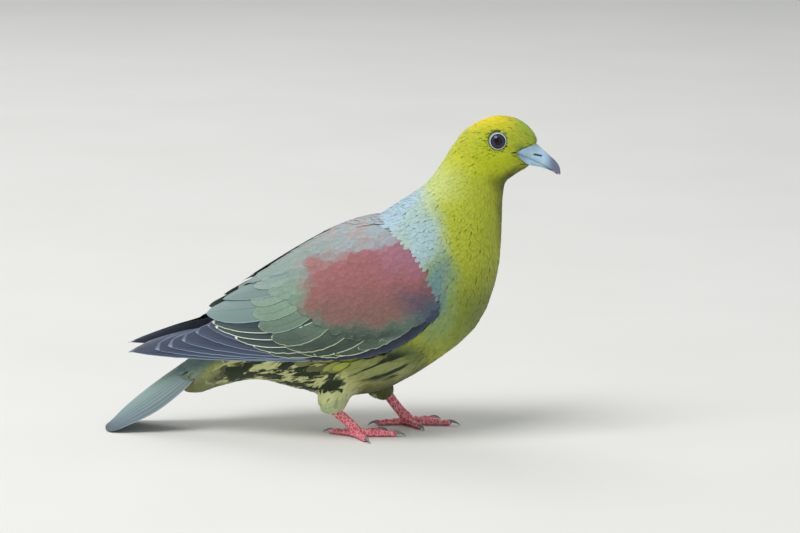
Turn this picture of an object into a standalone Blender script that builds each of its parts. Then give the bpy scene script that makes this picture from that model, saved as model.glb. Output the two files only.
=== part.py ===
"""A green pigeon standing at rest, as the solids of a life-size still model.

The bird faces +X with its left side toward +Y, and stands on the plane z = 0 on flat soles and on
the end of its tail. Sizes are in millimetres here and become metres as each mesh is made.

Head, neck and trunk are one body of smooth cross-sections, parted by two thin plane cuts. The
folded wings, the tail, the thighs and the bill are lofts that are cut back to stay a small gap
clear of that body. Feet are tubes joined into one solid, with a claw of its own on each toe.
"""

import math
from typing import NamedTuple

import bmesh
import bpy
import numpy as np
from mathutils import Vector

MM = 0.001
GAP = 0.3  # clearance kept between neighbouring solids
FAR = 400.0  # edge of the boxes that part or trim the solids
HARD_EDGE = math.radians(50)  # faces that meet at more than this are shaded with an edge

SIDES = {"right": -1, "left": 1}  # sign of Y
ACROSS, UP = (0.0, 1.0, 0.0), (0.0, 0.0, 1.0)


# ------------------------------------------------------------------ body and head


class Section(NamedTuple):
    """A cross-section across the bird, spanned from a point of its back to one of its belly."""

    back_x: float
    back_z: float
    belly_x: float
    belly_z: float
    half_width: float
    fullness: float = 2.0  # exponent of the outline: 2 is an ellipse, more is squarer
    egg: float = 0.0  # how much wider the section is toward the belly


TRUNK = (
    Section(-92.0, 33.0, -88.0, 24.0, 6.0),  # end of the tail coverts
    Section(-85.0, 38.5, -79.5, 20.3, 13.0),
    Section(-68.0, 49.5, -62.0, 25.5, 19.5, 2.0, 0.05),  # root of the tail
    Section(-49.0, 67.0, -41.0, 29.5, 26.0, 2.1, 0.06),  # vent
    Section(-28.0, 86.0, -20.0, 24.5, 32.5, 2.1, 0.08),  # rump
    Section(-6.0, 103.5, 3.0, 21.0, 37.0, 2.15, 0.08),  # flank
    Section(15.0, 116.0, 29.0, 24.0, 39.0, 2.15, 0.06),  # belly
    Section(34.0, 129.4, 60.0, 41.5, 38.5, 2.15, 0.02),  # shoulder
    Section(47.5, 138.0, 83.5, 62.5, 36.0, 2.15, 0.0),  # breast
    Section(54.0, 143.2, 94.3, 92.0, 30.0, 2.1, 0.04),  # crop
    Section(58.3, 149.4, 96.2, 115.0, 22.8, 2.05, 0.06),  # lower neck
    Section(63.0, 157.0, 96.6, 132.5, 17.4, 2.0, 0.05),  # upper neck
    Section(71.5, 166.0, 98.0, 144.0, 13.9, 2.0, 0.0),
    Section(81.0, 171.0, 99.0, 152.0, 10.0),  # hidden inside the head
)
TRUNK_RINGS, TRUNK_SEGMENTS = 27, 28

HEAD = (
    Section(69.5, 161.5, 76.0, 150.0, 6.5),  # hidden at the nape
    Section(73.2, 169.6, 82.5, 143.0, 12.4, 2.05, 0.0),
    Section(82.0, 177.6, 91.0, 141.8, 13.9, 2.15, 0.0),
    Section(94.6, 181.4, 98.5, 144.0, 13.3, 2.2, 0.02),  # crown and throat
    Section(105.8, 179.2, 103.5, 147.4, 10.9, 2.15, 0.05),
    Section(113.4, 173.2, 107.6, 149.9, 7.8, 2.05, 0.04),  # forehead and chin
    Section(116.3, 168.2, 110.9, 151.2, 5.4),
    Section(116.7, 165.0, 113.2, 153.0, 3.2),  # where the bill starts
)
HEAD_RINGS, HEAD_SEGMENTS = 15, 26

# Plane cuts, each through a point of the nape or mantle and one of the throat or breast.
HEAD_CUT = ((67.0, 158.5), (98.0, 142.0))
NECK_CUT = ((54.0, 141.0), (94.5, 100.0))

EYE_RADIUS = 5.4
EYE_CENTRE = (94.2, 9.1, 167.6)
EYE_RINGS, EYE_SEGMENTS = 9, 16

UPPER_BILL = (
    Section(106.0, 165.4, 99.5, 160.0, 5.6),  # hidden in the face
    Section(115.8, 165.0, 107.8, 159.1, 4.9, 2.1, 0.1),
    Section(119.4, 161.8, 114.2, 156.9, 4.2, 2.1, 0.12),
    Section(123.8, 157.9, 119.4, 153.6, 3.6, 2.1, 0.1),
    Section(127.6, 154.0, 123.9, 150.9, 2.9, 2.1, 0.05),
    Section(129.0, 151.0, 126.4, 149.3, 1.9),
    Section(129.3, 147.9, 128.4, 147.7, 0.5),  # tip of the hook
)
LOWER_BILL = (
    Section(99.5, 160.0, 101.0, 155.0, 5.4),  # hidden in the face
    Section(108.2, 159.1, 109.2, 153.6, 4.6, 2.0, -0.1),
    Section(114.2, 157.0, 115.4, 152.8, 3.8, 2.0, -0.15),
    Section(119.6, 153.7, 120.6, 151.2, 3.1, 2.0, -0.15),
    Section(123.9, 150.9, 124.8, 149.6, 2.1, 2.0, -0.1),
    Section(126.6, 149.5, 126.9, 149.0, 0.5),
)
BILL_RINGS, BILL_SEGMENTS = 9, 14


# ------------------------------------------------------------------ wings and tail


class WingStation(NamedTuple):
    """A section of a folded wing at one x, from its lower edge on the flank to its edge on the back."""

    x: float
    low_y: float
    low_z: float
    high_y: float
    high_z: float
    bulge: float  # how far the face swells beyond the lower edge
    shoulder: float  # 1 rounds over onto the back, less runs straighter up to the edge
    thickness: float


WING = (
    WingStation(65.2, 34.6, 81.5, 34.2, 88.5, 0.2, 1.0, 4.0),
    WingStation(63.0, 36.2, 75.5, 34.4, 97.0, 1.0, 1.0, 6.0),
    WingStation(57.5, 38.4, 67.5, 32.4, 107.0, 2.4, 1.0, 7.0),  # wrist
    WingStation(47.0, 40.2, 59.2, 26.6, 116.2, 3.4, 1.0, 8.0),
    WingStation(30.0, 41.0, 50.2, 15.6, 122.6, 4.2, 1.0, 8.0),
    WingStation(8.0, 40.0, 46.6, 5.0, 119.2, 5.0, 0.98, 8.0),
    WingStation(-15.0, 37.8, 46.4, 1.2, 107.4, 5.2, 0.95, 7.0),
    WingStation(-38.0, 33.0, 45.6, 0.7, 92.4, 4.2, 0.9, 5.0),
    WingStation(-60.0, 26.6, 44.8, 0.7, 77.6, 2.4, 0.84, 3.6),  # tips of the tertials
    WingStation(-80.0, 20.4, 44.4, 1.4, 65.2, 1.2, 0.76, 2.8),
    WingStation(-100.0, 14.6, 44.4, 3.4, 54.8, 0.5, 0.68, 2.0),
    WingStation(-112.0, 11.0, 44.8, 5.4, 49.0, 0.2, 0.6, 1.4),
    WingStation(-116.5, 9.0, 45.4, 7.2, 46.2, 0.0, 0.6, 0.9),  # tip of the longest primary
)
WING_RINGS, WING_FACE_POINTS = 23, 9
WING_SWELL = 0.36  # where the face swells, as a share of its height
WING_BROW = 0.5  # how far a straighter face falls below its upper edge, as a share of its height
WING_PIVOT = (45.0, 95.0)  # x and z about which the left wing sits a little higher
WING_LIFT = {"right": 0.0, "left": math.radians(1.1)}


class TailStation(NamedTuple):
    """A section of the closed tail, which is a low roof along the ridge of its middle feathers."""

    ridge_x: float
    ridge_z: float
    half_width: float
    drop: float  # height of the ridge above the eaves
    thickness: float


TAIL = (
    TailStation(-62.0, 50.0, 11.5, 5.0, 5.0),  # hidden in the coverts
    TailStation(-74.0, 44.6, 13.5, 7.5, 4.0),
    TailStation(-88.0, 35.8, 16.0, 10.2, 2.8),
    TailStation(-104.6, 23.6, 18.4, 10.6, 2.0),
    TailStation(-118.0, 12.4, 18.6, 7.4, 1.6),
    TailStation(-125.0, 5.3, 15.0, 4.0, 1.5),
    TailStation(-128.4, 2.1, 9.4, 1.9, 1.4),
    TailStation(-129.6, 1.1, 3.0, 0.5, 1.1),  # tip, laid on the floor
)
TAIL_SLOPE = math.radians(36.0)
TAIL_RINGS, TAIL_FACE_POINTS = 15, 11
ROOF_POWER = 1.7  # 1 is a sharp ridge, 2 a round one


# ------------------------------------------------------------------ legs


class Toe(NamedTuple):
    """A toe that lies on the floor, with the claw that it carries."""

    heading: float  # degrees from +X toward the bird's own outer side
    length: float
    radius: float
    claw: float


FOOT_JOINT = {"right": (14.4, -19.0), "left": (41.0, 19.0)}
TOES = {
    "right": {
        "middle": Toe(-3.0, 23.6, 2.5, 6.2),
        "inner": Toe(-42.0, 19.0, 2.3, 5.6),
        "outer": Toe(64.0, 18.0, 2.3, 5.6),
        "hind": Toe(-150.0, 17.0, 2.2, 5.6),
    },
    "left": {
        "middle": Toe(-4.0, 25.6, 2.5, 6.2),
        "inner": Toe(-58.0, 17.0, 2.3, 5.6),
        "outer": Toe(40.0, 19.6, 2.3, 5.6),
        "hind": Toe(-166.0, 17.4, 2.2, 5.6),
    },
}
TOE_TAPER = 0.74  # radius of a toe's tip over that of its root
TOE_HEIGHT = 0.84  # height of a toe's axis over its radius, so that the floor trims a flat sole
TOE_ROOT = -0.09  # where a toe starts, behind the joint, as a share of its length
TOE_END = 0.6  # how much narrower a toe is at its very end
TOE_PADS = 3
PAD_SWELL = 0.07
SHANK_TOP = {"right": (0.4, 17.4), "left": (30.0, 18.4)}  # x and z where it enters the feathers
SHANK_RADIUS = 3.0
SHANK_FOOT = ((-4.0, 8.8, 3.0), (0.0, 4.6, 3.0), (2.8, 3.0, 2.2))  # x from the joint, z and radius
THIGH = {  # x, height, distance from the middle and radius down the feathered leg
    "right": (
        (10.0, 46.0, 12.0, 12.0),
        (5.0, 34.0, 15.0, 12.6),
        (2.2, 24.0, 17.6, 10.2),
        (1.2, 16.0, 18.8, 6.4),
        (1.2, 13.4, 19.0, 3.8),
    ),
    "left": (
        (18.0, 46.0, 12.0, 12.0),
        (21.0, 34.0, 15.0, 12.0),
        (25.0, 25.0, 17.6, 9.4),
        (29.0, 18.4, 18.8, 6.0),
        (30.4, 16.2, 19.0, 3.8),
    ),
}
THIGH_RINGS, THIGH_SEGMENTS = 9, 14
SHANK_RINGS = 6
TUBE_SEGMENTS = 10
CLAW_SEGMENTS = 6
CLAW_STEPS = 5
CLAW_RADIUS = 1.15
CLAW_HEIGHT = 1.25  # where a claw starts, over the radius of its toe's tip
CLAW_TAPER = 0.86  # share of its radius that a claw loses on the way to its tip
CLAW_BELLY = 1.3  # 1 tapers evenly, more keeps the claw full for longer
CLAW_RISE = math.radians(18.0)  # slope at which a claw leaves its toe
CLAW_CURL = math.radians(64.0)  # how far it turns down to its tip


# ------------------------------------------------------------------ colours


class Finish(NamedTuple):
    """Colour, roughness and metallic value of one kind of surface."""

    colour: tuple
    roughness: float
    metallic: float = 0.0


FINISHES = {
    "head": Finish((0.50, 0.52, 0.04), 0.75),
    "neck": Finish((0.42, 0.48, 0.07), 0.75),
    "trunk": Finish((0.40, 0.46, 0.16), 0.78),
    "thigh": Finish((0.46, 0.52, 0.26), 0.8),
    "wing": Finish((0.20, 0.24, 0.20), 0.6),
    "tail": Finish((0.17, 0.23, 0.22), 0.6),
    "foot": Finish((0.50, 0.07, 0.10), 0.5),
    "claw": Finish((0.16, 0.16, 0.18), 0.35),
    "bill": Finish((0.40, 0.58, 0.72), 0.4),
    "eye": Finish((0.02, 0.015, 0.03), 0.05),
}


# ------------------------------------------------------------------ building tools


def clear_scene():
    """Remove every object of the open scene."""
    for old in list(bpy.data.objects):
        bpy.data.objects.remove(old, do_unlink=True)


class Model:
    """The bird's solids and the cutters that shape them, all carried by one empty."""

    def __init__(self, name):
        self.parts = self._collection(name)
        self.cutters = self._collection(name + "_cutters")
        self.frame = bpy.data.objects.new(name + "_frame", None)
        self.parts.objects.link(self.frame)

    @staticmethod
    def _collection(name):
        made = bpy.data.collections.new(name)
        bpy.context.scene.collection.children.link(made)
        return made

    def part(self, name, mesh, finish):
        """A solid with its own material, smooth except at hard edges."""
        obj = bpy.data.objects.new(name, mesh)
        self.parts.objects.link(obj)
        obj.parent = self.frame
        mesh.materials.clear()
        mesh.materials.append(new_material(name, FINISHES[finish]))
        mesh.shade_smooth()
        mesh.set_sharp_from_angle(angle=HARD_EDGE)
        return obj

    def cutter(self, name, mesh):
        """A helper shape for Boolean modifiers."""
        obj = bpy.data.objects.new(name, mesh)
        self.cutters.objects.link(obj)
        obj.parent = self.frame
        obj.hide_render = True
        obj.display_type = "WIRE"
        return obj

    def stand_on_origin(self):
        """Move everything so that the bottom centre of the bird's box is the origin."""
        bpy.context.view_layer.update()
        graph = bpy.context.evaluated_depsgraph_get()
        corners = []
        for obj in self.parts.objects:
            if obj.type == "MESH":
                seen = obj.evaluated_get(graph)
                corners += [seen.matrix_world @ v.co for v in seen.data.vertices]
        low, high = np.min(corners, axis=0), np.max(corners, axis=0)
        self.frame.location = (-(low[0] + high[0]) / 2, -(low[1] + high[1]) / 2, -low[2])


def new_material(name, finish):
    """A Principled material of one finish."""
    made = bpy.data.materials.new(name)
    made.use_nodes = True
    made.diffuse_color = (*finish.colour, 1.0)
    shader = made.node_tree.nodes["Principled BSDF"]
    shader.inputs["Base Color"].default_value = (*finish.colour, 1.0)
    shader.inputs["Roughness"].default_value = finish.roughness
    shader.inputs["Metallic"].default_value = finish.metallic
    return made


def boolean(obj, operation, other):
    """Add an exact Boolean of one object with another."""
    cut = obj.modifiers.new(f"{operation.lower()} {other.name}", "BOOLEAN")
    cut.operation = operation
    cut.solver = "EXACT"
    cut.object = other


def smooth_rows(rows, count, places=2):
    """Rows read at even steps from a smooth curve through the given rows.

    The steps are measured along the curve of the first `places` pairs of numbers.
    """
    rows = np.array(rows, float)
    steps = np.linalg.norm(np.diff(rows[:, : 2 * places], axis=0), axis=1)
    knots = np.concatenate([[0.0], np.cumsum(np.sqrt(steps))])
    slopes = np.gradient(rows, knots, axis=0)
    at = np.linspace(0.0, knots[-1], count)
    index = np.clip(np.searchsorted(knots, at, side="right") - 1, 0, len(knots) - 2)
    span = (knots[index + 1] - knots[index])[:, None]
    t = ((at - knots[index])[:, None]) / span
    ease, linger = 3 * t**2 - 2 * t**3, t**3 - t**2
    return (
        rows[index] * (1 - ease)
        + rows[index + 1] * ease
        + span * slopes[index] * (t + linger - t**2)
        + span * slopes[index + 1] * linger
    )


def loft(name, rings):
    """A closed mesh over equal rings of points in millimetres, with a flat face on either end."""
    size = len(rings[0])
    shape = bmesh.new()
    grid = [[shape.verts.new(Vector(p) * MM) for p in ring] for ring in rings]
    for ring, after in zip(grid, grid[1:]):
        for i in range(size):
            j = (i + 1) % size
            shape.faces.new((ring[i], ring[j], after[j], after[i]))
    shape.faces.new(grid[0][::-1])
    shape.faces.new(grid[-1])
    bmesh.ops.recalc_face_normals(shape, faces=shape.faces)
    mesh = bpy.data.meshes.new(name)
    shape.to_mesh(mesh)
    shape.free()
    return mesh


def section_ring(row, segments, grow=0.0):
    """Points around one Section, optionally grown outward by some millimetres."""
    section = Section(*row)
    back = np.array((section.back_x, 0.0, section.back_z))
    belly = np.array((section.belly_x, 0.0, section.belly_z))
    up = (back - belly) / 2
    up *= 1 + grow / np.linalg.norm(up)
    angle = np.arange(segments) * 2 * math.pi / segments
    power = 2 / section.fullness
    lift = np.sign(np.cos(angle)) * np.abs(np.cos(angle)) ** power
    side = np.sign(np.sin(angle)) * np.abs(np.sin(angle)) ** power
    across = side * (section.half_width + grow) * (1 - section.egg * lift)
    return (back + belly) / 2 + np.outer(lift, up) + np.outer(across, ACROSS)


def section_loft(name, sections, rings, segments, grow=0.0):
    """A body of smooth cross-sections."""
    rows = smooth_rows(sections, rings)
    return loft(name, [section_ring(row, segments, grow) for row in rows])


def tube(name, points, radii, segments, level):
    """A round body along a path, with rings square to it.

    The rings are turned by `level`, a direction that the path never takes.
    """
    points = np.array(points, float)
    angle = np.arange(segments) * 2 * math.pi / segments
    rings = []
    for centre, along, radius in zip(points, np.gradient(points, axis=0), radii):
        ahead = along / np.linalg.norm(along)
        side = np.cross(ahead, level)
        side /= np.linalg.norm(side)
        spokes = np.outer(np.cos(angle), side) + np.outer(np.sin(angle), np.cross(side, ahead))
        rings.append(centre + spokes * radius)
    return loft(name, rings)


def half_space(model, name, line, above):
    """A box that fills the space on one side of a plane across the bird, half a gap off the plane.

    The line runs forward from the bird's back to its front, so that its left turn points up.
    """
    (x0, z0), (x1, z1) = line
    ahead = np.array((x1 - x0, 0.0, z1 - z0))
    ahead /= np.linalg.norm(ahead)
    normal = np.cross(ahead, ACROSS) * (1 if above else -1)
    middle = np.array(((x0 + x1) / 2, 0.0, (z0 + z1) / 2)) + normal * GAP / 2
    side = np.array(ACROSS) * FAR
    ring = [middle + ahead * FAR * a + side * b for a, b in ((-1, -1), (1, -1), (1, 1), (-1, 1))]
    return model.cutter(name, loft(name, [ring, [p + normal * FAR for p in ring]]))


def floor_cutter(model):
    """A block below the floor, which trims what stands on it to flats at one level."""
    shape = bmesh.new()
    bmesh.ops.create_cube(shape, size=FAR * MM)
    bmesh.ops.translate(shape, verts=shape.verts, vec=(0, 0, -FAR * MM / 2))
    mesh = bpy.data.meshes.new("floor_block")
    shape.to_mesh(mesh)
    shape.free()
    return model.cutter("floor_block", mesh)


# ------------------------------------------------------------------ the bird


def ball(name, centre, radius):
    """A sphere mesh around a point in millimetres."""
    shape = bmesh.new()
    bmesh.ops.create_uvsphere(shape, u_segments=EYE_SEGMENTS, v_segments=EYE_RINGS, radius=radius * MM)
    bmesh.ops.translate(shape, verts=shape.verts, vec=Vector(centre) * MM)
    mesh = bpy.data.meshes.new(name)
    shape.to_mesh(mesh)
    shape.free()
    return mesh


def build_flesh(model):
    """Head, neck and trunk: one body, parted by two plane cuts, with sockets for the eyes."""
    head_mass = model.cutter("head_mass", section_loft("head_mass", HEAD, HEAD_RINGS, HEAD_SEGMENTS))
    keep = {
        "head": [half_space(model, "above_head_cut", HEAD_CUT, True)],
        "neck": [
            half_space(model, "below_head_cut", HEAD_CUT, False),
            half_space(model, "above_neck_cut", NECK_CUT, True),
        ],
        "trunk": [half_space(model, "below_neck_cut", NECK_CUT, False)],
    }
    for name, boxes in keep.items():
        mesh = section_loft(name, TRUNK, TRUNK_RINGS, TRUNK_SEGMENTS)
        obj = model.part(name, mesh, name)
        boolean(obj, "UNION", head_mass)
        for box in boxes:
            boolean(obj, "INTERSECT", box)
        if name == "head":
            for socket in build_eyes(model):
                boolean(obj, "DIFFERENCE", socket)


def build_eyes(model):
    """Two eyeballs, and the sockets that hold them."""
    sockets = []
    for side, sign in SIDES.items():
        x, y, z = EYE_CENTRE
        model.part(f"eye_{side}", ball(f"eye_{side}", (x, sign * y, z), EYE_RADIUS), "eye")
        socket = ball(f"socket_{side}", (x, sign * y, z), EYE_RADIUS + GAP)
        sockets.append(model.cutter(f"socket_{side}", socket))
    return sockets


def build_bill(model):
    """Upper and lower bill, clear of the face and of each other."""
    face = model.cutter("face_gap", section_loft("face_gap", HEAD, HEAD_RINGS, HEAD_SEGMENTS, GAP))
    shape = section_loft("upper_gap", UPPER_BILL, BILL_RINGS, BILL_SEGMENTS, GAP)
    upper_gap = model.cutter("upper_gap", shape)
    shape = section_loft("bill_upper", UPPER_BILL, BILL_RINGS, BILL_SEGMENTS)
    boolean(model.part("bill_upper", shape, "bill"), "DIFFERENCE", face)
    shape = section_loft("bill_lower", LOWER_BILL, BILL_RINGS, BILL_SEGMENTS)
    lower = model.part("bill_lower", shape, "bill")
    boolean(lower, "DIFFERENCE", face)
    boolean(lower, "DIFFERENCE", upper_gap)


def wing_ring(row, sign):
    """Points around one WingStation: up its outer face and back down the inner one."""
    at = WingStation(*row)
    low, high = np.array((at.low_y, at.low_z)), np.array((at.high_y, at.high_z))
    height = at.high_z - at.low_z
    swell = low + (at.bulge, WING_SWELL * height)
    brow = np.array((at.high_y + at.shoulder * (at.low_y - at.high_y), at.high_z))
    brow[1] -= (1 - at.shoulder) * WING_BROW * height
    t = np.linspace(0.0, 1.0, WING_FACE_POINTS)[:, None]
    outer = (1 - t) ** 3 * low + 3 * (1 - t) ** 2 * t * swell + 3 * (1 - t) * t**2 * brow + t**3 * high
    along = np.gradient(outer, axis=0)
    inward = np.stack([-along[:, 1], along[:, 0]], axis=1)
    inward /= np.linalg.norm(inward, axis=1)[:, None]
    inner = outer + inward * at.thickness
    inner[:, 0] = np.maximum(inner[:, 0], min(at.high_y, GAP + at.thickness))
    return [(at.x, sign * y, z) for y, z in [*outer, *inner[::-1]]]


def turned_up(points, side):
    """Points of a wing after it is raised about its pivot across the bird."""
    angle = WING_LIFT[side]
    x0, z0 = WING_PIVOT
    cos, sin = math.cos(angle), math.sin(angle)
    return [
        (x0 + (x - x0) * cos + (z - z0) * sin, y, z0 - (x - x0) * sin + (z - z0) * cos)
        for x, y, z in points
    ]


def build_wings(model, trunk_gap):
    """The two folded wings, which lie against the body and run on past it as blades."""
    rows = smooth_rows(WING, WING_RINGS, places=1)
    for side, sign in SIDES.items():
        rings = [turned_up(wing_ring(row, sign), side) for row in rows]
        wing = model.part(f"wing_{side}", loft(f"wing_{side}", rings), "wing")
        boolean(wing, "DIFFERENCE", trunk_gap)


def tail_ring(row):
    """Points around one TailStation: across its top from side to side and back underneath."""
    at = TailStation(*row)
    up = np.array((-math.sin(TAIL_SLOPE), 0.0, math.cos(TAIL_SLOPE)))
    place = np.linspace(-1.0, 1.0, TAIL_FACE_POINTS)
    ridge = np.array((at.ridge_x, 0.0, at.ridge_z))
    fall = at.drop * np.abs(place) ** ROOF_POWER
    top = ridge + np.outer(place * at.half_width, ACROSS) - np.outer(fall, up)
    return [*top, *(top[::-1] - up * at.thickness)]


def build_tail(model, trunk_gap, floor):
    """The closed tail, its tip trimmed flat where it lies on the floor."""
    rows = smooth_rows(TAIL, TAIL_RINGS, places=1)
    tail = model.part("tail", loft("tail", [tail_ring(row) for row in rows]), "tail")
    boolean(tail, "DIFFERENCE", trunk_gap)
    boolean(tail, "DIFFERENCE", floor)


def toe_direction(side, toe):
    """Unit vector of a toe's heading on the floor."""
    angle = math.radians(toe.heading)
    return np.array((math.cos(angle), SIDES[side] * math.sin(angle), 0.0))


def toe_tube(side, toe):
    """A padded toe along the floor from the joint of the foot."""
    x, y = FOOT_JOINT[side]
    t = np.linspace(TOE_ROOT, 1.0, 3 * TOE_PADS)
    radii = toe.radius * (1 + (TOE_TAPER - 1) * t) * (1 + PAD_SWELL * np.cos(2 * math.pi * TOE_PADS * t))
    points = np.array((x, y, 0.0)) + np.outer(t * toe.length, toe_direction(side, toe))
    points[:, 2] = radii * TOE_HEIGHT
    radii[-1] *= TOE_END
    return tube("toe", points, radii, TUBE_SEGMENTS, UP)


def claw_tube(name, side, toe):
    """A curved claw that leaves the upper end of its toe and bends down to the floor."""
    x, y = FOOT_JOINT[side]
    ahead = toe_direction(side, toe)
    tip_radius = toe.radius * TOE_TAPER
    place = np.array((x, y, CLAW_HEIGHT * tip_radius)) + ahead * (toe.length - tip_radius)
    points, step = [place], (toe.claw + tip_radius) / CLAW_STEPS
    for i in range(CLAW_STEPS):
        slope = CLAW_RISE - CLAW_CURL * (i + 0.5) / CLAW_STEPS
        points.append(points[-1] + step * (ahead * math.cos(slope) + (0, 0, math.sin(slope))))
    radii = CLAW_RADIUS * (1 - CLAW_TAPER * np.linspace(0.0, 1.0, CLAW_STEPS + 1) ** CLAW_BELLY)
    return tube(name, points, radii, CLAW_SEGMENTS, UP)


def build_leg(model, side, trunk_gap, floor):
    """A feathered thigh, a bare foot with four toes, and four claws."""
    path = smooth_rows(THIGH[side], THIGH_RINGS, places=1)
    leg = [(x, SIDES[side] * out, z) for x, z, out, _ in path]
    radii = path[:, 3]
    shape = tube(f"thigh_{side}", leg, radii, THIGH_SEGMENTS, ACROSS)
    boolean(model.part(f"thigh_{side}", shape, "thigh"), "DIFFERENCE", trunk_gap)
    shape = tube("thigh_gap", leg, radii + GAP, THIGH_SEGMENTS, ACROSS)
    leg_gap = model.cutter(f"thigh_gap_{side}", shape)

    x, y = FOOT_JOINT[side]
    shank = [(*SHANK_TOP[side], SHANK_RADIUS), *((x + off, z, size) for off, z, size in SHANK_FOOT)]
    shank = smooth_rows(shank, SHANK_RINGS, places=1)
    points = [(px, y, pz) for px, pz, _ in shank]
    mesh = tube(f"foot_{side}", points, shank[:, 2], TUBE_SEGMENTS, ACROSS)
    foot = model.part(f"foot_{side}", mesh, "foot")
    for name, toe in TOES[side].items():
        boolean(foot, "UNION", model.cutter(f"toe_{side}_{name}", toe_tube(side, toe)))
    boolean(foot, "DIFFERENCE", floor)
    boolean(foot, "DIFFERENCE", leg_gap)
    for name, toe in TOES[side].items():
        build_claw(model, f"claw_{side}_{name}", side, toe)


def build_claw(model, name, side, toe):
    """A claw, cut back to stay clear of its toe."""
    claw = model.part(name, claw_tube(name, side, toe), "claw")
    wider = toe._replace(radius=toe.radius + GAP, length=toe.length + GAP)
    boolean(claw, "DIFFERENCE", model.cutter(f"{name}_gap", toe_tube(side, wider)))


def main():
    """Build the whole bird."""
    clear_scene()
    model = Model("pigeon")
    floor = floor_cutter(model)
    shape = section_loft("trunk_gap", TRUNK, TRUNK_RINGS, TRUNK_SEGMENTS, GAP)
    trunk_gap = model.cutter("trunk_gap", shape)
    build_flesh(model)
    build_bill(model)
    build_wings(model, trunk_gap)
    build_tail(model, trunk_gap, floor)
    for side in SIDES:
        build_leg(model, side, trunk_gap, floor)
    model.stand_on_origin()


main()
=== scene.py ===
"""A green pigeon standing at rest, as a life-size model: skin, feathers, bill, eyes and feet.

Lengths in this file are millimetres unless a name says otherwise, and become metres as meshes are
made. The bird faces +X and its left side is toward +Y.
"""

import logging
import math
from dataclasses import dataclass, field
from enum import Enum
from typing import Any, Iterable, Sequence

import bmesh
import bpy
import numpy as np
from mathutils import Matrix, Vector
from mathutils.bvhtree import BVHTree


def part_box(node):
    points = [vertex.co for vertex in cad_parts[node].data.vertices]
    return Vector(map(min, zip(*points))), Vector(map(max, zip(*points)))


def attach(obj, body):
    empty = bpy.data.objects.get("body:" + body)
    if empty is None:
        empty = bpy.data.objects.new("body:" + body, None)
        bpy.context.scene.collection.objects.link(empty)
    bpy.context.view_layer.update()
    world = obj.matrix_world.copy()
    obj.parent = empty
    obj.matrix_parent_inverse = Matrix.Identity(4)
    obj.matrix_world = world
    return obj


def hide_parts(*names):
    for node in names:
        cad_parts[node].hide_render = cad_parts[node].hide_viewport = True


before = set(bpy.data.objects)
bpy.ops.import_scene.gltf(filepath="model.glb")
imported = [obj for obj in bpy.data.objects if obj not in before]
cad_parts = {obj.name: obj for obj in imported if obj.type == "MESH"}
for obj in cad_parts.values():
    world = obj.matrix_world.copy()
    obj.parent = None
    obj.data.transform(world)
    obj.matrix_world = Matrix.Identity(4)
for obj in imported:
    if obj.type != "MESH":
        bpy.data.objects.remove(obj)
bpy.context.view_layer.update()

MM = 0.001
WINGS = ("wing_right", "wing_left")
FLESH = ("head", "neck", "trunk", "thigh_right", "thigh_left")
log = logging.getLogger("pigeon")

Array = np.ndarray
Colour = tuple[float, float, float]
Point = tuple[float, float, float]
Spot = tuple[float, float]  # x and height, seen from the side


class Side(Enum):
    """The two sides of the bird, each with its sign of Y."""

    RIGHT = ("right", -1.0)
    LEFT = ("left", 1.0)

    @property
    def label(self) -> str:
        """The side's word in node names."""
        return self.value[0]

    @property
    def sign(self) -> float:
        """The sign of Y on this side."""
        return self.value[1]

    def mirror(self, point: Sequence[float]) -> Array:
        """A place or a direction of the left side, moved to this side."""
        return np.array(point) * (1.0, self.sign, 1.0)


# ---- numbers


def unit(vectors: Array) -> Array:
    """Vectors scaled to length one along their last axis."""
    return vectors / np.maximum(np.linalg.norm(vectors, axis=-1, keepdims=True), 1e-9)


def ease(value: Array, low: float, high: float) -> Array:
    """A smooth step from 0 at `low` to 1 at `high`."""
    t = np.clip((np.asarray(value, float) - low) / (high - low), 0.0, 1.0)
    return t * t * (3 - 2 * t)


def run_of(path: Array) -> Array:
    """How far along a path each of its points lies."""
    return np.concatenate([[0.0], np.cumsum(np.linalg.norm(np.diff(path, axis=0), axis=1))])


def read_rows(at: Array, knots: Array, rows: Array) -> Array:
    """Rows of numbers read between their knots."""
    return np.stack([np.interp(at, knots, column) for column in rows.T], axis=-1)


def bezier(points: Sequence[Array], t: Array) -> Array:
    """A quadratic curve through its first and last control points.

    Args:
        points: three arrays of control points that broadcast with `t`.
        t: places along the curve, with a last axis of length one.

    Returns:
        Points on the curve.
    """
    start, bend, end = points
    return (1 - t) ** 2 * start + 2 * (1 - t) * t * bend + t**2 * end


def along_rows(rows: Sequence[Sequence[float]], count: int) -> Array:
    """Rows read at even steps from a smooth curve through the given rows.

    Args:
        rows: key rows, in order.
        count: how many rows to return.

    Returns:
        An array of `count` rows.
    """
    keys = np.array(rows, float)
    knots = np.linspace(0.0, 1.0, len(keys))
    at = np.linspace(0.0, 1.0, count)
    slopes = np.gradient(keys, knots, axis=0)
    index = np.clip(np.searchsorted(knots, at, side="right") - 1, 0, len(knots) - 2)
    span = (knots[index + 1] - knots[index])[:, None]
    t = (at - knots[index])[:, None] / span
    return (
        keys[index] * (1 - 3 * t**2 + 2 * t**3)
        + keys[index + 1] * (3 * t**2 - 2 * t**3)
        + span * slopes[index] * (t - 2 * t**2 + t**3)
        + span * slopes[index + 1] * (t**3 - t**2)
    )


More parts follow.
